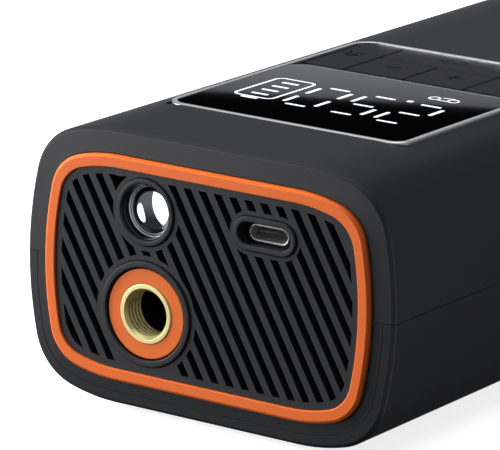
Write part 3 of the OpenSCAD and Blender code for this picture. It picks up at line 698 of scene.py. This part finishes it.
# The slots beside the lamp run together here, and two slivers of slot are filled, all as (x, z)
SLOT_NOTCH = [(-22.3, 46.4), (-20.4, 43.4), (-18.2, 46.5)]
SLOT_FILLS = [(-7.6, 10.0), (-18.4, 10.2)]
SLOT_FILL_R = 1.3


def outer_edges(faces):
    """Edges that only one of the faces has, as pairs of point numbers."""
    uses = Counter(frozenset(edge) for face in faces for edge in zip(face, face[1:] + face[:1]))
    return [tuple(edge) for edge, count in uses.items() if count == 1]


def plate(bm, points, faces, near, far):
    """Plate between two depths with the shape of flat faces, in few faces."""
    verts = {}
    for depth in (near, far):
        for face in faces:
            for i in face:
                if (i, depth) not in verts:
                    verts[i, depth] = bm.verts.new(on_front(points[i].x, points[i].y, depth))
            bm.faces.new([verts[i, depth] for i in face])
    for a, b in outer_edges(faces):
        bm.faces.new([verts[a, near], verts[b, near], verts[b, far], verts[a, far]])
    bmesh.ops.recalc_face_normals(bm, faces=bm.faces)
    bmesh.ops.dissolve_limit(bm, angle_limit=math.radians(1), verts=bm.verts, edges=bm.edges)


def grille_plate(bm, holes, lands, border):
    """Plate with slots, whose front edges are broken by a small bevel."""
    rim = body(RING_INNER + 0.06)
    lines = stripes()

    def solid(middle):
        """Whether the plate has material at a point."""
        point = tuple(middle)
        if not inside(point, [rim]) or any(inside(point, [hole]) for hole in holes):
            return False
        in_slot = inside(point, [border]) and any(inside(point, [line]) for line in lines)
        in_slot = in_slot or inside(point, [SLOT_NOTCH])
        return not in_slot or any(inside(point, [land]) for land in lands)

    points, faces = planned([rim, border, SLOT_NOTCH] + holes + lands + lines, solid)
    plate(bm, points, faces, PLATE_Y, -FACE_Y + WALL)
    in_front = PLATE_Y + 0.01
    crisp = [e for e in bm.edges if e.calc_face_angle(0) > 1 and all(v.co.y < in_front for v in e.verts)]
    bmesh.ops.bevel(
        bm, geom=crisp, offset=0.13, segments=2, profile=0.5, affect="EDGES", clamp_overlap=True)
    for face in bm.faces:
        face.smooth = abs(face.normal.y) < 0.98


def split_off(bm, test):
    """Moves the faces that pass a test into a mesh of their own."""
    other = bm.copy()
    moved = [face for face in bm.faces if test(face)]
    kept = [face for face in other.faces if not test(face)]
    bmesh.ops.delete(bm, geom=moved, context="FACES")
    bmesh.ops.delete(other, geom=kept, context="FACES")
    return other


def collar(bm, outline, width, seat, far):
    """Raised lip on the plate. seat is the depth of the step inside it, or None for a plain hole."""
    front, lip_r, step = PLATE_Y - COLLAR_RISE, 0.32, 3.06
    inner = [(width, far, 0)]
    if seat is not None:
        inner = [(width, seat, 0), (width + step, seat, 0), (width + step, far, 0)]
    path = rounded([(0, far, 0), (0, front, lip_r), (width, front, lip_r)] + inner, closed=True)
    sweep(bm, outline, path, on_front, closed_path=True)


def front_grille():
    """Slotted plate, with the slots' walls painted near-black as shade, and the three collars."""
    gap = 0.14
    lamp = circle(LAMP_X, UPPER_Z, LAMP_R + LAMP_COLLAR_W)
    port = stadium(PORT_X, UPPER_Z, *PORT_COLLAR)
    outlet = circle(OUTLET_X, OUTLET_Z, OUTLET_COLLAR_R, MANY)
    holes = [drawn(outline, -gap) for outline in (lamp, port, outlet)]
    lands = [
        drawn(circle(LAMP_X, UPPER_Z, LAMP_R + LAMP_LAND_W)),
        drawn(stadium(PORT_X, UPPER_Z, *PORT_LAND)),
        drawn(circle(OUTLET_X, OUTLET_Z, OUTLET_LAND_R, MANY)),
    ] + [drawn(circle(x, z, SLOT_FILL_R, FEW // 2)) for x, z in SLOT_FILLS]
    bm = bmesh.new()
    grille_plate(bm, holes, lands, body(SLOT_INSET))
    # The slots' walls go into a piece of their own, painted near-black as shade
    walls = split_off(bm, lambda face: abs(face.normal.y) < 0.2)
    piece(bm, "front_grille_plate", "grille", ["front_grille"])
    piece(walls, "front_grille_walls", "grille", material=PAINTED_SHADE)
    far = -FACE_Y + WALL
    bm = bmesh.new()
    collar(bm, lamp, LAMP_COLLAR_W, None, far)
    collar(bm, port, (PORT_COLLAR[1] - PORT_OPEN[1]) / 2, None, far)
    collar(bm, outlet, OUTLET_COLLAR_R - OUTLET_SEAT_R, -FACE_Y + OUTLET_SEAT_DEPTH, far)
    piece(bm, "front_collars", "grille")


# ---- lamp, charging port, air outlet

LENS_RIM_Y = -FACE_Y + 1.5


def lamp_barrel():
    """Glossy barrel with a narrow lip and a cone down to the lens."""
    mouth, depth, lip, cone = -FACE_Y - 0.4, 12, 0.35, 2
    wall = LAMP_R - LENS_R
    corners = [
        (0, mouth + depth, 0), (0, mouth, 0.1), (lip, mouth, 0.12), (wall, mouth + cone, 0.2),
        (wall, mouth + depth, 0),
    ]
    bm = profiled(circle(LAMP_X, UPPER_Z, LAMP_R), corners, on_front)
    piece(bm, "lamp_cup", "barrel", ["lamp_barrel"])


def lamp_lens():
    """Lens that bulges out of its rim, with a flat back."""
    rise, steps, fit, back = 1.9, 16, 0.995, 0.02
    front = LENS_RIM_Y - rise
    radius = (LENS_R ** 2 + rise ** 2) / (2 * rise)
    half_angle = math.asin(LENS_R / radius)
    path = []
    for i in range(1, steps + 1):
        t = half_angle * i / steps
        path.append((LENS_R - radius * math.sin(t) * fit, front + radius * (1 - math.cos(t))))
    path += [(back, LENS_RIM_Y + 0.1), (back, LENS_RIM_Y + 3)]
    bm = bmesh.new()
    rings = sweep(bm, circle(LAMP_X, UPPER_Z, LENS_R), path, on_front, caps="end")
    tip = bm.verts.new(on_front(LAMP_X, UPPER_Z, front))
    for a, b in zip(rings[0], rings[0][1:] + rings[0][:1]):
        bm.faces.new((tip, a, b)).smooth = True
    piece(bm, "lamp_lens_dome", "lens", ["lamp_lens"])


def lamp_rim():
    """Thin bright ring round the lens."""
    outer, inner, edge_r = -0.28, 0.05, 0.12
    near, far = LENS_RIM_Y - 0.5, LENS_RIM_Y - 0.1
    corners = [(outer, far, 0), (outer, near, edge_r), (inner, near, edge_r), (inner, far, 0)]
    piece(profiled(circle(LAMP_X, UPPER_Z, LENS_R), corners, on_front), "lamp_lens_rim", "port_metal")


def port_shell():
    """Drawn metal shell with a rolled rim, and the dark liner between it and its collar."""
    near, far = port_low.y, port_high.y
    metal, rim_r, floor_t, steps, fit = 0.3, 0.14, 1.4, 20, 0.04
    shell = stadium(PORT_X, UPPER_Z, port_high.x - port_low.x, port_high.z - port_low.z, steps)
    bm = profiled(shell, [(0, far, 0), (0, near, rim_r), (metal, near, rim_r), (metal, far, 0)], on_front)
    sweep(bm, shell, [(metal, far - floor_t), (metal, far)], on_front, caps="start end")
    piece(bm, "port_shell", "port_metal", ["usb_c_port"])
    bm = bmesh.new()
    opening = stadium(PORT_X, UPPER_Z, PORT_OPEN[0] - fit, PORT_OPEN[1] - fit, steps)
    slab(bm, [drawn(opening), drawn(shell, -fit / 2)], on_front, near + 0.5, far - 1)
    piece(bm, "port_liner", "barrel")


def port_tongue():
    """The tongue in the port and its two rows of contacts."""
    near, far = port_low.y, port_high.y
    half_w, half_t, pitch, pad_w, proud = 3.35, 0.35, 0.5, 0.12, 0.02
    low, high = (PORT_X - half_w, UPPER_Z - half_t), (PORT_X + half_w, UPPER_Z + half_t)
    tongue = round_box(low, high, (0.15,) * 4, 3)
    path = rounded([(0, far - 1.4, 0), (0, near + 1, 0.12), (0.3, near + 1, 0)])
    piece(swept(tongue, path, on_front), "port_tongue", "dark_plastic")
    bm = bmesh.new()
    for side in (-1, 1):
        for i in range(12):
            x = PORT_X - 2.75 + pitch * i
            pad = round_box((x - pad_w, near + 1.5), (x + pad_w, far - 1.6), (0.05,) * 4, 2)
            z = UPPER_Z + side * half_t
            slab(bm, [drawn(pad)], on_top, z - proud, z + proud)
    piece(bm, "port_contacts", "brass")


# Radii of the brass fitting and its thread, the thread's pitch and depth, and the chamfer at its mouth
FITTING_R = 5.95
THREAD_MINOR = 4.46
THREAD_MAJOR = 4.95
THREAD_PITCH = 1.0
THREAD_SEEN = 5.2
MOUTH = 0.54
NUT_BACK_Y = -FACE_Y + WALL + FLANGE_T


def thread_rows(axis):
    """Rings of points down the thread, each turn a tooth with a flat crest and a flat root."""
    rows_a_turn = 14
    steps = int(THREAD_SEEN / THREAD_PITCH * rows_a_turn)
    rows = []
    for row in range(steps + 1):
        y = NOZZLE_FRONT + MOUTH + (THREAD_SEEN - MOUTH) * row / steps
        ring = []
        for *_, angle in axis:
            phase = (y / THREAD_PITCH - angle / 360) % 1.0
            tooth = abs(2 * phase - 1)
            cut = min(1.0, max(0.0, 1.25 * tooth - 0.12))
            r = THREAD_MINOR + (THREAD_MAJOR - THREAD_MINOR) * cut
            r = THREAD_MINOR + 0.1 if row == 0 else r
            ring.append((OUTLET_X, OUTLET_Z, r, angle))
        rows.append([on_front(u, v, y) for u, v in drawn(ring)])
    return rows


def in_root(face):
    """Whether a face of the fitting lies in the root of its thread."""
    spot = face.calc_center_median()
    reach = math.hypot(spot.x - OUTLET_X, spot.z - OUTLET_Z)
    return spot.y > NOZZLE_FRONT + 0.7 and THREAD_MINOR + 0.3 < reach < THREAD_MAJOR + 0.1


def air_outlet():
    """Brass fitting with a turned rim, a chamfered mouth and a real thread, whose roots are painted darker
    as shade.
    """
    bm = bmesh.new()
    axis = circle(OUTLET_X, OUTLET_Z, FITTING_R, MANY)
    flat_w = FITTING_R - THREAD_MINOR
    rim = [
        (0, NUT_BACK_Y, 0), (0, NOZZLE_FRONT, 0.25), (flat_w - MOUTH, NOZZLE_FRONT, 0.12),
        (flat_w - 0.1, NOZZLE_FRONT + MOUTH, 0),
    ]
    sweep(bm, axis, rounded(rim), on_front)
    skin(bm, thread_rows(axis))
    bmesh.ops.remove_doubles(bm, verts=bm.verts, dist=1e-3)
    # The thread's roots take a darker brass, painted shade in the creases
    roots = split_off(bm, in_root)
    piece(bm, "fitting_bore", "brass", ["air_nozzle"], sharp=50)
    piece(roots, "fitting_thread_roots", "brass", material=PAINTED_ROOT_SHADE, sharp=50)
    # The far end of the bore is a near-black cap of painted shade
    bore, bore_depth = circle(OUTLET_X, OUTLET_Z, THREAD_MAJOR), 10.8
    path = [(0, NOZZLE_FRONT + THREAD_SEEN), (0, NOZZLE_FRONT + bore_depth)]
    piece(swept(bore, path, on_front, "end"), "fitting_bore_end", "brass", material=PAINTED_SHADE)


def fitting_nut_and_washer():
    """Hexagon of the fitting behind the flange, and the rubber washer in its seat."""
    across_flats, nut_t, edge_r, inner_r = 16, 6.8, 0.22, 0.1
    bm = bmesh.new()
    hexagon = [(OUTLET_X, OUTLET_Z, across_flats / math.sqrt(3), 60 * i) for i in range(6)]
    loops = [drawn(hexagon), drawn(circle(OUTLET_X, OUTLET_Z, FITTING_R))]
    slab(bm, loops, on_front, NUT_BACK_Y, NUT_BACK_Y + nut_t)
    piece(bm, "fitting_hexagon", "brass")
    seat, front, width = -FACE_Y + OUTLET_SEAT_DEPTH, WASHER_FRONT, WASHER_R - FITTING_R - 0.02
    corners = [(0, seat, 0), (0, front, edge_r), (width, front, inner_r), (width, seat, 0)]
    bm = profiled(circle(OUTLET_X, OUTLET_Z, WASHER_R, MANY), corners, on_front)
    piece(bm, "fitting_washer", "washer", ["nozzle_washer"])


# ---- control panel

# Outlines of the frame, of its pocket and of the window in the shell under it
TRIM_W = 1.1
PANEL_LOW = (panel_low.x, panel_low.y)
PANEL_HIGH = (panel_high.x, panel_high.y)
PANEL = round_box(PANEL_LOW, PANEL_HIGH, (3.5, 5.0, 5.0, 4.6), 14)
PANEL_POCKET = round_box(PANEL_LOW, PANEL_HIGH, (1.4, 4.9, 4.9, 1.4), 14)
LEDGE = 2
WINDOW_LOW = (panel_low.x + LEDGE, panel_low.y + LEDGE)
WINDOW_HIGH = (panel_high.x - LEDGE, panel_high.y - LEDGE)
PANEL_WINDOW = round_box(WINDOW_LOW, WINDOW_HIGH, (1.5, 3.0, 3.0, 1.5), 6)
PANEL_SEAT_Z = panel_low.z
SPLIT_Y = glass_high.y + 1.2
GLASS_TOP = panel_high.z - 0.06


def panel_trim():
    """Bright frame round the glass and the keys."""
    bottom, top = panel_low.z, panel_high.z
    corners = [(0, bottom, 0), (0, top, 0.3), (TRIM_W, top, 0.15), (TRIM_W, bottom, 0)]
    piece(profiled(PANEL, corners, on_top), "panel_trim", "frame_silver", ["panel_frame"])


def pane(inset):
    """Outline of the glass. Its rear edge is drawn in by the whole inset, the others by a tenth of it."""
    front_r, rear_r, least = 3.5 - TRIM_W, 4.0, 0.1
    low, high = (glass_low.x, glass_low.y), (glass_high.x, glass_high.y)
    arcs = []
    for cx, cy, radius, angle in round_box(low, high, (front_r, rear_r, rear_r, front_r), 12):
        share = least + (1 - least) * max(0.0, math.sin(math.radians(angle)))
        arcs.append((cx, cy, radius - inset * share, angle))
    return drawn(arcs)


def panel_glass():
    """Black window whose rear edge curves down gently towards the keys."""
    start, width, drop, steps = 0.04, 2.2, 0.36, 8
    side_top, edge_drop, hold = GLASS_TOP - 0.5, 0.38, 0.3
    path = [(0, glass_low.z), (0, side_top), (start, GLASS_TOP - edge_drop)]
    for i in range(steps + 1):
        t = i / steps
        path.append((start + (width - start) * t, GLASS_TOP - drop * (1 - t) ** 2))
    # A narrow flat ring keeps the flat top's shading flat
    path.append((width + hold, GLASS_TOP))
    piece(swept(pane, path, on_top), "panel_glass", "screen", ["display_glass"])


def bar(middle, size):
    """Loop of a small rounded bar, size (across, along), on the panel."""
    x, y = middle
    w, l = size[0] / 2, size[1] / 2
    r = min(w, l) * 0.6
    return drawn(round_box((x - w, y - l), (x + w, y + l), (r,) * 4, 3))


def digit(x, y, lit):
    """Lit bars of one seven-segment figure: t, m, b across and tl, tr, bl, br upright."""
    row, half, column = 8.0, 4.0, 3.68
    across, upright = (4.5, 0.86), (0.9, 5.2)
    places = {
        "t": ((x, y + row), across), "m": ((x, y), across), "b": ((x, y - row), across),
        "tl": ((x - column, y + half), upright), "tr": ((x + column, y + half), upright),
        "bl": ((x - column, y - half), upright), "br": ((x + column, y - half), upright),
    }
    return [[bar(*places[name])] for name in lit.split()]


def two_wheeler(x, y):
    """Loops of a small pictogram: two wheels with a frame between them."""
    wheel_x, wheel_y, wheel_r, tyre, line = 2.15, 0.6, 1.3, 0.42, 0.4
    wheels = [circle(x + side * wheel_x, y - wheel_y, wheel_r, FEW) for side in (-1, 1)]
    frame_lines = [((x - 1.0, y - 1.5), (x + 1.0, y - 1.5)), ((x - 0.7, y + 0.6), (x + 1.5, y + 0.9))]
    loops = [[drawn(wheel), drawn(wheel, tyre)] for wheel in wheels]
    return loops + [[stroke(a, b, line)] for a, b in frame_lines]


def battery_gauge(x, y):
    """Loops of a battery: its case, its terminal and four bars of charge."""
    case = round_box((x - 4.9, y - 7.6), (x + 4.6, y + 9.6), (1.9,) * 4, 6)
    line, first, pitch = 0.58, -4.55, 3.57
    loops = [[drawn(case), drawn(case, line)], [bar((x, y - 8.3), (3.8, 0.9))]]
    return loops + [[bar((x, y + first + pitch * i), (3.9, 0.95))] for i in range(4)]


def display():
    """Lit battery gauge, three figures and a small sign. They read from the rear end."""
    y = -53.4
    shapes = digit(-5.8, y, "t b tl tr bl br")
    shapes += digit(4.8, y, "t m b tl br")
    shapes += digit(15.4, y - 0.2, "t m b tr bl")
    shapes.append([bar((10.0, y + 8.7), (1.3, 1.3))])
    shapes += battery_gauge(-16.4, y)
    shapes += two_wheeler(14.4, y + 14.7)
    bm = bmesh.new()
    for loops in shapes:
        slab(bm, loops, on_top, GLASS_TOP - 0.05, GLASS_TOP + 0.012)
    piece(bm, "display_figures", "display", material=LIT)


def stroke(a, b, width):
    """Loop of a straight stroke with round ends."""
    a, b = Vector(a), Vector(b)
    angle = math.degrees(math.atan2(b.y - a.y, b.x - a.x))
    far_end = arc(b.x, b.y, width / 2, angle - 90, angle + 90, 5)
    near_end = arc(a.x, a.y, width / 2, angle + 90, angle + 270, 5)
    return drawn(far_end + near_end)


def bend(x, y, radius, width, start, end):
    """Loop of an arc-shaped stroke."""
    steps = 24
    outer = arc(x, y, radius + width / 2, start, end, steps)
    inner = arc(x, y, radius - width / 2, end, start, steps)
    return drawn(outer + inner)


def icons():
    """Strokes of each key's icon as lists of loops, seen from the rear end."""
    w, bold = 0.5, 0.6
    x, y = -22.4, -15.2
    light = [bend(x, y - 0.4, 1.3, w, 180, 360)]
    light += [stroke((x - 1.3, y - 0.4), (x + 1.3, y - 0.4), w)]
    light += [stroke((x + k, y + 0.6), (x + 1.5 * k, y + 2.0), w) for k in (-1.2, 0, 1.2)]
    x, y = -9.3, -20.3
    minus = [stroke((x - 1.7, y), (x + 1.7, y), bold)]
    x, y = 4.7, -20.2
    plus = [stroke((x - 1.7, y), (x + 1.7, y), bold)]
    plus += [stroke((x, y - 1.7), (x, y - 0.45), bold), stroke((x, y + 0.45), (x, y + 1.7), bold)]
    x, y = -2.3, -8.6
    mode = [bend(x - 1.5, y, 1.2, w, 40, 320), bend(x + 1.6, y, 1.2, w, -140, 140)]
    x, y = 19.1, -15.2
    power = [bend(x, y, 1.6, w, -50, 230), stroke((x, y - 0.5), (x, y - 2.1), w)]
    return {"light": light, "minus": minus, "plus": plus, "mode": mode, "power": power}


KEY_GAP = 0.15


def key_outlines():
    """Outline of each key: its cell, within the frame and clear of its neighbours."""
    middle, column, round_corner, soft = -2.4, 14.1, 5.0 - TRIM_W - KEY_GAP, 0.5
    row = SPLIT_Y + 13.3
    reach_x = panel_high.x - TRIM_W - KEY_GAP
    reach_y = panel_high.y - TRIM_W - KEY_GAP
    over = 2
    left, right, back = panel_low.x - over, panel_high.x + over, panel_high.y + over
    cells = {
        "light": ((left, SPLIT_Y), (middle - column, back)),
        "minus": ((middle - column, SPLIT_Y), (middle, row)),
        "plus": ((middle, SPLIT_Y), (middle + column, row)),
        "mode": ((middle - column, row), (middle + column, back)),
        "power": ((middle + column, SPLIT_Y), (right, back)),
    }
    corners = {"light": (soft, soft, round_corner, soft), "power": (soft, round_corner, soft, soft)}
    outlines = {}
    for name, (low, high) in cells.items():
        low = max(low[0] + KEY_GAP, -reach_x), low[1] + KEY_GAP
        high = min(high[0] - KEY_GAP, reach_x), min(high[1] - KEY_GAP, reach_y)
        outlines[name] = round_box(low, high, corners.get(name, (soft,) * 4), 10)
    return outlines


def keys():
    """Key caps with eased edges, and their printed icons."""
    ease, rim_w, sink, proud = 0.25, 0.45, 0.05, 0.015
    signs = icons()
    for name, cap in key_outlines().items():
        bottom = box_mm(f"{name}_key")[0].z
        path = rounded([(0, bottom, 0), (0, KEY_TOP, ease), (rim_w, KEY_TOP, 0)])
        button = f"{name}_button"
        piece(swept(cap, path, on_top), f"{name}_cap", "key", [f"{name}_key"], body=button)
        bm = bmesh.new()
        for loop in signs[name]:
            slab(bm, [loop], on_top, KEY_TOP - sink, KEY_TOP + proud)
        piece(bm, f"{name}_icon", "key", material=ICON, body=button)


# ---- studio

def sheet(name, corners, material):
    """One four-sided face for the studio. Its corners are in metres."""
    bm = bmesh.new()
    bm.faces.new([bm.verts.new(corner) for corner in corners])
    obj = mesh_object(name, bm)
    obj.data.materials.append(material)
    return obj


def floor():
    """Pale floor. It is lit and takes shadows, but throws no light back on the object."""
    half = 12.0
    corners = [(-half, -half, 0), (half, -half, 0), (half, half, 0), (-half, half, 0)]
    pale = surface("pale_floor", (0.86, 0.86, 0.86), 0.9, 4, mottle=0.01, patch=3, glow=0.93)
    obj = sheet("floor", corners, pale)
    obj.visible_diffuse = False
    obj.visible_glossy = False
    obj.visible_shadow = False


def softbox(name, place, target, size, power, colour=(1, 1, 1)):
    """Rectangular area light. size is (across, up)."""
    light = bpy.data.lights.new(name, "AREA")
    light.shape = "RECTANGLE"
    light.size = size[0] * MM
    light.size_y = size[1] * MM
    light.energy = power
    light.color = colour
    obj = new_object(name, light)
    obj.location = Vector(place) * MM
    aim = (Vector(target) - Vector(place)).normalized()
    obj.rotation_euler = aim.to_track_quat("-Z", "Y").to_euler()
    obj.visible_camera = False
    return obj


def faded(light, share, dim):
    """Fades the top of a panel of light to the part dim of its power, over a share of its height."""
    light.data.use_nodes = True
    tree = light.data.node_tree
    ramp = ramp_along(tree, "NewGeometry", "Parametric", "Y", From_Min=1 - share, To_Min=1.0, To_Max=dim)
    wire(ramp, "Result", tree.nodes["Emission"], "Strength")


def only_on(light, *names):
    """Keeps a light to some pieces."""
    group = bpy.data.collections.new(f"{light.name}_pieces")
    for name in names:
        group.objects.link(bpy.data.objects[name])
    light.light_linking.receiver_collection = group
    return group


def not_on(light, *names):
    """Keeps a light off some pieces."""
    for entry in only_on(light, *names).collection_objects:
        entry.light_linking.link_state = "EXCLUDE"


def back_panel():
    """Low panel behind the object, whose upper edge shows in the window's reflection."""
    width, height, power, fade, dim = 900, 290, 0.48, 0.052, 0.55
    left, right = Vector((-594.0, 754.7, 290.9)), Vector((-496.4, 817.9, 294.7))
    across = (left - right).normalized()
    ahead = Vector((-across.y, across.x, 0)).normalized()
    up = across.cross(ahead)
    middle = (left + right) / 2 - up * (height / 2)
    panel = softbox("back_panel", middle, middle + ahead, (width, height), power, (0.93, 0.95, 1.0))
    turn = Matrix((across, up, across.cross(up))).transposed().to_4x4()
    panel.matrix_world = Matrix.Translation(middle * MM) @ turn
    faded(panel, fade, dim)
    only_on(panel, "panel_glass", "panel_trim")


def black_flag():
    """Black card behind the back panel, which keeps the rest of that reflection dark."""
    low, high = 20, 900
    left, right = Vector((-1150, 450)), Vector((-50, 1160))
    corners = [(left, low), (right, low), (right, high), (left, high)]
    cloth = surface("flag_cloth", (0.0005, 0.0005, 0.0005), 0.95, 2, gloss=0.0)
    obj = sheet("black_flag", [(p.x * MM, p.y * MM, z * MM) for p, z in corners], cloth)
    obj.visible_camera = False


def surroundings():
    """Even pale light from all round, weaker from below."""
    world = bpy.data.worlds.new("studio")
    world.use_nodes = True
    tree = world.node_tree
    levels = {"From_Min": -0.5, "From_Max": 0.1, "To_Min": 0.05, "To_Max": 0.23}
    ramp = ramp_along(tree, "TexCoord", "Generated", "Z", **levels)
    set_inputs(tree.nodes["Background"], Color=(0.93, 0.96, 1.0, 1))
    wire(ramp, "Result", tree.nodes["Background"], "Strength")
    bpy.context.scene.world = world


def card(name, subject, ahead, far, size, power, pieces, roll=0.0):
    """Shiny-only light in one direction from a subject, kept to some pieces."""
    place = Vector(subject) + Vector(ahead).normalized() * far
    light = softbox(name, place, subject, size, power)
    light.rotation_euler.rotate_axis("Z", math.radians(roll))
    light.visible_diffuse = False
    only_on(light, *pieces)
    return light


def studio():
    """All lights. The cards stand where the camera sees them mirrored in one piece."""
    surroundings()
    middle = (0, -40, 40)
    lens = (LAMP_X, -FACE_Y, UPPER_Z)
    edge = (0, -FACE_Y, MID_Z)
    shell = ("housing_top", "housing_bottom", "front_bezel_lower")
    left = softbox("left", (-1400, -200, 700), middle, (1000, 900), 52)
    not_on(left, "panel_trim")
    left.visible_glossy = False
    softbox("overhead", (-100, 0, 1500), middle, (1600, 1600), 11.9)
    low = softbox("low", (-480, -400, 60), (0, -60, 30), (450, 240), 3.0)
    not_on(low, "lamp_lens_dome", "panel_glass")
    fill = softbox("back_fill", (-590, 790, 430), (0, -40, 430), (1300, 800), 0.65)
    not_on(fill, "panel_glass", "lamp_lens_dome")
    strip = card("lens_strip", lens, (-0.80, -0.50, -0.32), 600, (300, 420), 1.2, ["lamp_lens_dome"])
    strip.data.shape = "ELLIPSE"
    card("lens_card", lens, (0.42, -0.9, 0.1), 800, (1200, 2400), 26, ["lamp_lens_dome"], 20)
    card("trim_card", middle, (-0.54, 0.80, 0.55), 1200, (900, 500), 1, ["panel_trim"])
    card("rim_card", middle, (-0.54, 0.80, -0.26), 900, (900, 400), 2, ["housing_top"])
    card("right_card", edge, (0.95, 0.1, -0.25), 700, (400, 800), 4, shell)
    card("edge_card", edge, (-0.54, -0.70, 0.42), 1000, (500, 400), 4.5, ["housing_top"])
    back_panel()
    black_flag()
    bpy.context.scene.view_settings.view_transform = "Standard"


def camera():
    """Camera fitted to the end face, the panel and the silhouette."""
    data = bpy.data.cameras.new("camera")
    data.lens = 308.285
    data.sensor_width = 36
    obj = new_object("camera", data)
    right = Vector((0.823838, 0.566402, 0.021734))
    up = Vector((-0.164696, 0.202691, 0.965313))
    ahead = Vector((-0.542362, 0.798788, -0.260329))
    turn = Matrix((right, up, -ahead)).transposed().to_4x4()
    obj.matrix_world = Matrix.Translation(Vector((440.253, -733.043, 248.448)) * MM) @ turn
    bpy.context.scene.camera = obj


camera()
floor()
dress_cad_nodes()
upper_shell()
lower_shell()
end_ring("front_end_ring", on_front, "front_ring")
end_ring("rear_end_ring", on_rear, "rear_ring")
front_grille()
lamp_barrel()
lamp_lens()
lamp_rim()
port_shell()
port_tongue()
air_outlet()
fitting_nut_and_washer()
panel_trim()
panel_glass()
display()
keys()
for edged, width in (("rear_panel", 0.2), ("socket_cover", 0.35), ("usb_a_port", 0.08)):
    ease_edges(edged, width)
studio()
